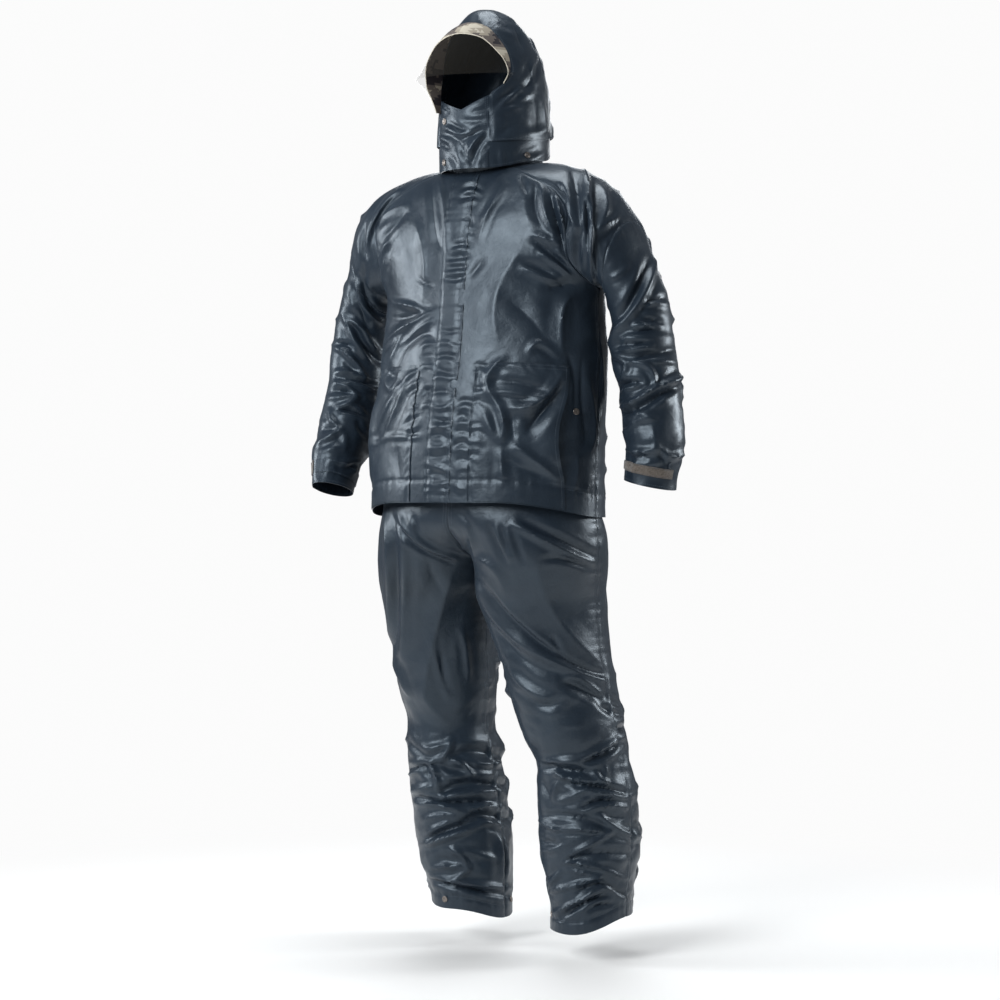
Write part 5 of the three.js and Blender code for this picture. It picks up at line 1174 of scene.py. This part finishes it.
def rim_of(rows, columns, closed):
    """The border of a grid as a closed run of places, or two runs where the grid is a tube."""
    place = np.arange(rows * columns).reshape(rows, columns)
    if closed:
        return [place[0].tolist(), place[-1, ::-1].tolist()]
    sides = place[0, :-1], place[:-1, -1], place[-1, :0:-1], place[:0:-1, 0]
    return [np.concatenate(sides).tolist()]


def placed(name, data):
    obj = bpy.data.objects.new(name, data)
    bpy.context.scene.collection.objects.link(obj)
    return obj


def new_object(name, vertices, faces, material):
    mesh = bpy.data.meshes.new(name)
    mesh.from_pydata((vertices * MM).tolist(), [], faces)
    mesh.update()
    mesh.polygons.foreach_set("use_smooth", [True] * len(mesh.polygons))
    mesh.materials.append(material)
    return placed(name, mesh)


def cloth_area(points):
    a, b = points[1:, 1:] - points[:-1, :-1], points[1:, :-1] - points[:-1, 1:]
    return float(np.linalg.norm(np.cross(a, b), axis=-1).sum() / 2)


def cloth(name, sheet, material, thick=WALL, flip=False):
    """A thin closed shell for one sheet; it stands for the node of its own name."""
    points, outward = sheet.points, normals_of(sheet.points, flip)
    ALL_SHEETS[name] = sheet, outward
    closed = meets(points)
    if closed:
        points, outward = points[:, :-1], outward[:, :-1]
    rows, columns = points.shape[:2]
    outer = points.reshape(-1, 3)
    inner = outer - outward.reshape(-1, 3) * thick
    count = len(outer)
    quads = faces_of(rows, columns, closed, flip)
    faces = quads.tolist() + (quads[:, ::-1] + count).tolist()
    for run in rim_of(rows, columns, closed):
        for a, b in zip(run, run[1:] + run[:1]):
            side = [b, a, a + count, b + count]
            faces.append(side[::-1] if flip else side)
    obj = new_object(name + "_cloth", np.concatenate([outer, inner]), faces, material)
    obj.data.set_sharp_from_angle(angle=CUT_EDGE)
    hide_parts(name)
    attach(obj, "root")
    area = cloth_area(sheet.points) * MM * MM
    width, length = max(sheet.width * MM, FLAT_LEAST), max(sheet.length * MM, FLAT_LEAST)
    length = min(max(length, area / width), area / (FLAT_FILLED * width))


def line_along(name, side, inset):
    """A line of places on a sheet, a set distance in from one of its edges, and the normals there."""
    sheet, normals = ALL_SHEETS[name]
    points, reach = sheet.points, sheet.from_edge[side]
    if side in ("low", "high"):
        points, normals, reach = points.swapaxes(0, 1), normals.swapaxes(0, 1), reach.T
    if side in ("right", "high"):
        points, normals, reach = points[:, ::-1], normals[:, ::-1], reach[:, ::-1]

    def read(values):
        return np.array([[np.interp(inset, r, row[:, k]) for k in range(3)] for r, row in zip(reach, values)])

    return read(points), unit(read(normals))


STITCH = {"pitch": 3.7, "long": 2.7, "wide": 1.5, "high": 0.5, "sunk": 0.1}


def sewn(table):
    """The stitched lines of a table of sheets; a star in a name stands for left and right."""
    for sheet, edges in table.items():
        for name in [sheet.replace("*", s) for s in (SIDES.values() if "*" in sheet else ("",))]:
            for side, insets in edges.items():
                yield from (line_along(name, side, inset) for inset in insets)


def stitches(name, table):
    """Rows of stitches along lines on the cloth, each stitch a small raised dash."""
    vertices, faces = [], []
    for points, normals in sewn(table):
        reach = reach_along(np.linalg.norm(np.diff(points, axis=0), axis=-1))
        for place in np.arange(STITCH["pitch"], reach[-1] - STITCH["pitch"], STITCH["pitch"]):
            ends = place - STITCH["long"] / 2, place + STITCH["long"] / 2
            a, b = (np.array([np.interp(e, reach, points[:, k]) for k in range(3)]) for e in ends)
            n = np.array([np.interp(place, reach, normals[:, k]) for k in range(3)])
            n /= np.linalg.norm(n)
            aside = np.cross(b - a, n)
            aside *= STITCH["wide"] / 2 / max(np.linalg.norm(aside), 1e-9)
            first, middle, sunk = len(vertices), (a + b) / 2, n * STITCH["sunk"]
            vertices += [a - sunk, b - sunk, middle + aside, middle - aside, middle + n * STITCH["high"]]
            faces += [[first, first + 2, first + 4], [first + 2, first + 1, first + 4]]
            faces += [[first + 1, first + 3, first + 4], [first + 3, first, first + 4]]
            faces += [[first, first + 3, first + 1, first + 2]]
    obj = new_object(name, np.array(vertices), faces, THREAD)
    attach(obj, "root")


# Section of a snap's cap: radius and height above the cloth, from its middle to its rim.
CAP = [
    (0.0, 1.5), (2.0, 1.5), (2.3, 1.75), (3.0, 1.75), (3.5, 1.35), (4.6, 1.5), (5.4, 1.75), (6.0, 1.3),
    (6.1, 0.3), (5.7, -0.5),
]
CAP_SIDES = 28


def snap(name, sheet_name):
    """A pressed metal cap on the cloth, where the node of its name is."""
    low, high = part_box(name)
    centre = (np.array(low) + np.array(high)) / 2 / MM
    sheet, normals = ALL_SHEETS[sheet_name]
    flat = sheet.points.reshape(-1, 3)
    nearest = np.linalg.norm(flat - centre, axis=-1).argmin()
    n = normals.reshape(-1, 3)[nearest]
    spot = centre - n * np.dot(centre - flat[nearest], n)
    across = unit(np.cross(n, [0.0, 0.0, 1.0]))
    up = np.cross(across, n)
    vertices, faces = [spot + n * CAP[0][1]], []
    for radius, level in CAP[1:]:
        for k in range(CAP_SIDES):
            a = 2 * math.pi * k / CAP_SIDES
            vertices.append(spot + radius * (math.cos(a) * across + math.sin(a) * up) + n * level)

    def ring(r, k):
        return 1 + r * CAP_SIDES + k % CAP_SIDES

    faces += [[0, ring(0, k + 1), ring(0, k)] for k in range(CAP_SIDES)]
    for r in range(len(CAP) - 2):
        faces += [[ring(r, k), ring(r, k + 1), ring(r + 1, k + 1), ring(r + 1, k)] for k in range(CAP_SIDES)]
    faces.append([ring(len(CAP) - 2, k) for k in range(CAP_SIDES)])
    obj = new_object(name + "_cap", np.array(vertices), faces, METAL)
    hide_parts(name)
    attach(obj, "root")


# Materials.
class Nodes:
    """A material's nodes, made and linked in few words."""

    def __init__(self, name):
        self.material = bpy.data.materials.new(name)
        self.material.use_nodes = True
        self.tree = self.material.node_tree
        self.shader = self.tree.nodes["Principled BSDF"]
        self.place = self.make("ShaderNodeTexCoord").outputs["Object"]

    def make(self, kind, inputs=None, **settings):
        node = self.tree.nodes.new(kind)
        for key, value in settings.items():
            setattr(node, key, value)
        for key, value in (inputs or {}).items():
            if isinstance(value, bpy.types.NodeSocket):
                self.tree.links.new(value, node.inputs[key])
            else:
                node.inputs[key].default_value = value
        return node

    def noise(self, scale, detail, roughness=0.55, vector=None, distortion=0.0):
        inputs = {"Scale": scale, "Detail": detail, "Roughness": roughness, "Distortion": distortion}
        inputs["Vector"] = vector or self.place
        return self.make("ShaderNodeTexNoise", inputs).outputs["Fac"]

    def stretched(self, place, scale):
        return self.make("ShaderNodeMapping", {"Vector": place, "Scale": scale}).outputs["Vector"]

    def ramp(self, value, stops, constant=False):
        node = self.make("ShaderNodeValToRGB", {"Fac": value})
        node.color_ramp.interpolation = "CONSTANT" if constant else "LINEAR"
        for element, (place, colour) in zip(node.color_ramp.elements, stops):
            element.position, element.color = place, colour
        for place, colour in stops[2:]:
            node.color_ramp.elements.new(place).color = colour
        return node.outputs["Color"]

    def bump(self, height, distance, strength, normal=None):
        inputs = {"Height": height, "Distance": distance, "Strength": strength}
        if normal is not None:
            inputs["Normal"] = normal
        return self.make("ShaderNodeBump", inputs).outputs["Normal"]

    def link(self, output, name):
        self.tree.links.new(output, self.shader.inputs[name])

    def set(self, **values):
        for name, value in values.items():
            self.shader.inputs[name.replace("_", " ")].default_value = value


def grey(value):
    return (value, value, value, 1)


def nylon(name, dark, light):
    """Coated nylon: even weave, small flat crushed places and soft uneven gloss."""
    n = Nodes(name)
    n.link(n.ramp(n.noise(9, 4, 0.6), [(0.3, dark), (0.7, light)]), "Base Color")
    n.link(n.ramp(n.noise(38, 3), [(0.3, grey(0.33)), (0.7, grey(0.42))]), "Roughness")
    n.set(IOR=1.5, Specular_IOR_Level=0.5, Sheen_Weight=0.04, Sheen_Roughness=0.4)
    n.set(Sheen_Tint=(0.75, 0.85, 1.0, 1), Specular_Tint=(0.80, 0.91, 1.0, 1))
    warp = n.noise(1100, 1, 0.3, n.stretched(n.place, (1, 1, 0.22)))
    weft = n.noise(1100, 1, 0.3, n.stretched(n.place, (0.22, 0.22, 1)))
    weave = n.make("ShaderNodeMath", {0: warp, 1: weft}, operation="ADD").outputs[0]
    fine = n.bump(weave, 0.00012, 0.5)
    cracks = n.make("ShaderNodeTexVoronoi", {"Vector": n.place, "Scale": 52.0}, feature="DISTANCE_TO_EDGE")
    sharp = n.ramp(cracks.outputs["Distance"], [(0.0, grey(0)), (0.16, grey(1))])
    crushed = n.bump(sharp, 0.00012, 0.25, fine)
    n.link(n.bump(n.noise(70, 5, 0.6, distortion=0.8), 0.0011, 0.5, crushed), "Normal")
    return n.material


def camouflage():
    n = Nodes("camouflage_cloth")
    step = n.make("ShaderNodeVectorMath", {0: n.place, 1: (0.0052,) * 3}, operation="SNAP").outputs[0]
    blocks = n.noise(16, 2, 0.5, n.stretched(step, (1, 1, 1.7)))
    stops = [(0.0, (0.022, 0.018, 0.022, 1)), (0.43, (0.105, 0.086, 0.076, 1))]
    stops += [(0.55, (0.30, 0.26, 0.205, 1)), (0.62, (0.47, 0.42, 0.34, 1))]
    n.link(n.ramp(blocks, stops, constant=True), "Base Color")
    n.set(Roughness=0.82, Specular_IOR_Level=0.3)
    n.link(n.bump(n.noise(900, 2), 0.0002, 0.6), "Normal")
    return n.material


def vinyl():
    n = Nodes("clear_vinyl")
    n.set(Base_Color=(0.075, 0.068, 0.057, 1), Roughness=0.12, IOR=1.5, Alpha=0.08)
    n.set(Coat_Weight=1.0, Coat_Roughness=0.06)
    n.link(n.bump(n.noise(16, 2), 0.004, 0.35), "Normal")
    return n.material


def hook_tape():
    n = Nodes("hook_and_loop")
    browns = [(0.3, (0.075, 0.062, 0.052, 1)), (0.7, (0.16, 0.135, 0.115, 1))]
    n.link(n.ramp(n.noise(420, 3), browns), "Base Color")
    n.set(Roughness=0.95, Specular_IOR_Level=0.2, Sheen_Weight=0.4, Sheen_Roughness=0.5)
    n.link(n.bump(n.noise(900, 3, 0.7), 0.0012, 0.9), "Normal")
    return n.material


def antique_metal():
    n = Nodes("antique_snap")
    taupes = [(0.3, (0.13, 0.115, 0.105, 1)), (0.7, (0.30, 0.265, 0.24, 1))]
    n.link(n.ramp(n.noise(500, 3), taupes), "Base Color")
    n.link(n.ramp(n.noise(300, 2), [(0.3, grey(0.28)), (0.7, grey(0.5))]), "Roughness")
    n.set(Metallic=0.9)
    return n.material


def plain(name, colour, roughness):
    n = Nodes(name)
    n.set(Base_Color=colour, Roughness=roughness)
    n.link(n.bump(n.noise(700, 2), 0.0001, 0.4), "Normal")
    return n


NAVY = nylon("navy_nylon", (0.011, 0.0175, 0.027, 1), (0.016, 0.025, 0.037, 1))
THREAD = plain("thread", (0.060, 0.080, 0.105, 1), 0.7).material
CREAM = plain("cream_piping", (0.62, 0.56, 0.46, 1), 0.6).material
CAMO = camouflage()
CLEAR = vinyl()
TAPE = hook_tape()
METAL = antique_metal()

# The jacket.
for name, side in (("left", 1), ("right", -1)):
    cloth(f"front_{name}", front_sheet(side), NAVY, flip=side < 0)
    cloth(f"sleeve_{name}_upper", sleeve_sheet(side, 0, PIECING_RING), NAVY, flip=side < 0)
    cloth(f"sleeve_{name}_lower", sleeve_sheet(side, PIECING_RING, LAST_RING), NAVY, flip=side < 0)
    cloth(f"pocket_{name}", pocket_sheet(side), NAVY, flip=side < 0)
cloth("back", back_sheet(), NAVY, flip=True)
cloth("storm_flap", flap_sheet(), NAVY)
cloth("collar", collar_sheet(), NAVY)

CUFF_RINGS = (10.55, 11.0)
CUFFS = {"left": (1, (0.6, 8.6), (8.9, 15.5)), "right": (-1, (-1.5, 5), (5.4, 13))}
for name, (side, tape, strap) in CUFFS.items():
    band = sleeve_sheet(side, *CUFF_RINGS, tape, ON)
    cloth(f"cuff_tape_{name}", band, TAPE, 1.2, side < 0)
    band = sleeve_sheet(side, *CUFF_RINGS, strap, ON)
    cloth(f"cuff_strap_{name}", band, NAVY, 1.2, side < 0)
keeper = sleeve_sheet(1, 10.25, 10.5, (1.2, 1.6), ON)
cloth("keeper_left", keeper, NAVY, 1.2)

# The hood.
cloth("mask", mask_sheet(), NAVY)
cloth("neck_strap", strap_sheet(), NAVY)
cloth("hood_left", hood_side_sheet(1), NAVY)
cloth("hood_right", hood_side_sheet(-1), NAVY, flip=True)
cloth("hood_centre", hood_centre_sheet(), NAVY, flip=True)
cloth("brim", brim_sheet(), CAMO)
cloth("visor", visor_sheet(), CLEAR, thick=0.5)

PIPING = {"radius": 0.9, "sides": 8}


def piping(name, line, material):
    """A thin round cord sewn along a line."""
    along = unit(np.gradient(line, axis=0))
    aside = unit(np.cross(along, [0.0, 0.0, 1.0]))
    up = np.cross(aside, along)
    vertices, faces, sides = [], [], PIPING["sides"]
    for p, a, b in zip(line, aside, up):
        for k in range(sides):
            turn = 2 * math.pi * k / sides
            vertices.append(p + PIPING["radius"] * (math.cos(turn) * a + math.sin(turn) * b))
    for i in range(len(line) - 1):
        for k in range(sides):
            m = (k + 1) % sides
            faces.append([i * sides + k, (i + 1) * sides + k, (i + 1) * sides + m, i * sides + m])
    faces += [list(range(sides)), [(len(line) - 1) * sides + k for k in reversed(range(sides))]]
    obj = new_object(name, np.array(vertices), faces, material)
    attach(obj, "root")


piping("brim_piping", ALL_SHEETS["brim"][0].points[-1], CREAM)

# The trousers.
for name, side in (("left", 1), ("right", -1)):
    for face_name, face in (("front", -1), ("back", 1)):
        turned = (side > 0) == (face > 0)
        leg = leg_sheet(side, face)
        cloth(f"leg_{name}_{face_name}", leg, NAVY, flip=turned)


def waistband_sheet():
    share = np.linspace(0, 1, 60)
    runs = []
    for side, face, order in ((1, -1, 1), (1, 1, -1), (-1, 1, 1), (-1, -1, -1)):
        line = leg_point(side, face, share, np.ones_like(share))
        runs.append(line[::order][1:] if runs else line[::order])
    row = np.concatenate(runs)
    t = np.linspace(0, 1, 10)[:, None]
    draw = 1 - 0.05 * t * t
    gather = 1 + 0.006 * np.sin(np.arange(len(row)) * 1.9) * np.sin(np.pi * t)
    points = vec(row[:, 0] * draw * gather, row[:, 1] * draw * gather, row[:, 2] + WAISTBAND * t)
    return Sheet(points)


cloth("waistband", waistband_sheet(), NAVY)

# Snaps, each on the sheet that it goes through.
SNAPS = {
    "snap_mask_upper": "mask", "snap_mask_lower": "mask",
    "snap_strap_left": "neck_strap", "snap_strap_right": "neck_strap",
    "snap_leg_left_front": "leg_left_front", "snap_leg_left_back": "leg_left_back",
    "snap_leg_right_front": "leg_right_front", "snap_leg_right_back": "leg_right_back",
    "snap_pocket_left": "front_left", "snap_pocket_right": "front_right",
}
for name, sheet_name in SNAPS.items():
    snap(name, sheet_name)

# Stitching: for each edge of a sheet, how far in from it the stitched lines run.
UNDER = TUCK["under"]
stitches("stitches_jacket", {
    "storm_flap": {"left": (3,), "right": (3, 9)},
    "mask": {"left": (4, 8), "right": (4, 8)},
    "front_*": {"right": (3, 8), "low": (HEM_BAND,)},
    "pocket_*": {"high": (3, 9), "left": (3,), "right": (6,)},
    "sleeve_*_upper": {"low": (UNDER + 3, UNDER + 8)},
    "sleeve_*_lower": {"low": (3,), "high": (5,)},
    "cuff_strap_*": {"low": (2.2,), "high": (2.2,), "left": (2.2,), "right": (2.2,)},
    "cuff_tape_*": {"low": (1.6,), "high": (1.6,)},
    "back": {"left": (3, 8), "right": (3, 8), "low": (HEM_BAND,)},
})
stitches("stitches_hood", {
    "hood_centre": {"left": (3, 8), "right": (3, 8)},
    "hood_*": {"low": (3,), "high": (3,), "right": (3,), "left": (5,)},
    "mask": {"high": (4,)},
    "neck_strap": {"low": (4,)},
})
stitches("stitches_trousers", {
    "leg_*_back": {"low": (LEG_HEM_BAND,), "right": (3,), "left": (3,)},
    "leg_*_front": {"low": (LEG_HEM_BAND,), "right": (3, 9), "left": (3, 9)},
})

# Floor, light and camera.
FLOOR = {"level": -1.473, "reach": 2.6, "sides": 96, "fades": (0.7, 1.7)}
WHITE = (0.97, 0.97, 0.97, 1)  # of the backdrop


def floor_material():
    """Pale and even; towards its edge it takes on the white of the backdrop."""
    n = plain("pale_floor", (0.90, 0.875, 0.85, 1), 0.75)
    middle = (0, 0, FLOOR["level"])
    away = n.make("ShaderNodeVectorMath", {0: n.place, 1: middle}, operation="SUBTRACT").outputs[0]
    reach = n.make("ShaderNodeVectorMath", {0: away}, operation="LENGTH").outputs["Value"]
    span = {"Value": reach, "From Min": FLOOR["fades"][0], "From Max": FLOOR["fades"][1]}
    share = n.make("ShaderNodeMapRange", span, interpolation_type="SMOOTHSTEP").outputs["Result"]
    white = n.make("ShaderNodeEmission", {"Color": WHITE, "Strength": 1.0}).outputs[0]
    blend = n.make("ShaderNodeMixShader", {0: share, 1: n.shader.outputs[0], 2: white}).outputs[0]
    n.tree.links.new(blend, n.tree.nodes["Material Output"].inputs["Surface"])
    return n.material


def floor():
    reach, turns = FLOOR["reach"], np.linspace(0, 2 * math.pi, FLOOR["sides"], endpoint=False)
    corners = [(reach * math.cos(a), reach * math.sin(a), FLOOR["level"]) for a in turns]
    new_object("floor", np.array(corners) / MM, [list(range(len(corners)))], floor_material())


MIDDLE = Vector((0, 0, -0.55))  # what the lamps point at
# Lamps: distances right, ahead and up as the camera sees them, size in metres and power in watts.
LAMPS = {
    "key": ((-2.2, -2.5, 1.5), 2.0, 118), "left_strip": ((-3.0, 0.4, 0.9), 1.3, 55),
    "right_strip": ((3.0, 0.6, 0.6), 1.0, 50), "top": ((0.0, 0.2, 2.8), 1.4, 45),
    "behind": ((0.4, 3.2, 1.2), 2.0, 45),
}


def lamp(name, place, size, power):
    data = bpy.data.lights.new(name, "AREA")
    data.shape, data.size, data.energy = "DISK", size, power
    data.color = (0.92, 0.965, 1.0)
    obj = placed(name, data)
    obj.location = place
    obj.rotation_euler = (MIDDLE - Vector(place)).to_track_quat("-Z", "Y").to_euler()


def from_camera(right, ahead, up):
    """A place by its distances right of, ahead of and above the suit's middle, as the camera sees it."""
    spot = RIGHT * right + LOOK * ahead
    return (spot[0], spot[1], -0.6 + up)


def studio_world():
    """A weak even light, with a white backdrop for the camera alone."""
    world = bpy.data.worlds.new("studio")
    world.use_nodes = True
    nodes, links = world.node_tree.nodes, world.node_tree.links
    light, backdrop = nodes["Background"], nodes.new("ShaderNodeBackground")
    light.inputs["Color"].default_value = (0.95, 0.97, 1.0, 1)
    light.inputs["Strength"].default_value = 0.13
    backdrop.inputs["Color"].default_value = WHITE
    shown = nodes.new("ShaderNodeMixShader")
    links.new(nodes.new("ShaderNodeLightPath").outputs["Is Camera Ray"], shown.inputs[0])
    links.new(light.outputs[0], shown.inputs[1])
    links.new(backdrop.outputs[0], shown.inputs[2])
    links.new(shown.outputs[0], nodes["World Output"].inputs[0])
    return world


floor()
for name, (place, size, power) in LAMPS.items():
    lamp(name, from_camera(*place), size, power)
bpy.context.scene.world = studio_world()
bpy.context.scene.view_settings.view_transform = "Standard"

lens = bpy.data.cameras.new("photo_camera")
lens.sensor_width = 36
lens.lens = 36 * PHOTO["focal"] / 1000
camera = placed("photo_camera", lens)
spot = RIGHT * PHOTO["aside"] - LOOK * PHOTO["away"]
camera.location = (spot[0] * MM, spot[1] * MM, PHOTO["level"] * MM)
camera.rotation_euler = (math.radians(90), 0, math.radians(PHOTO["turn"]))
bpy.context.scene.camera = camera
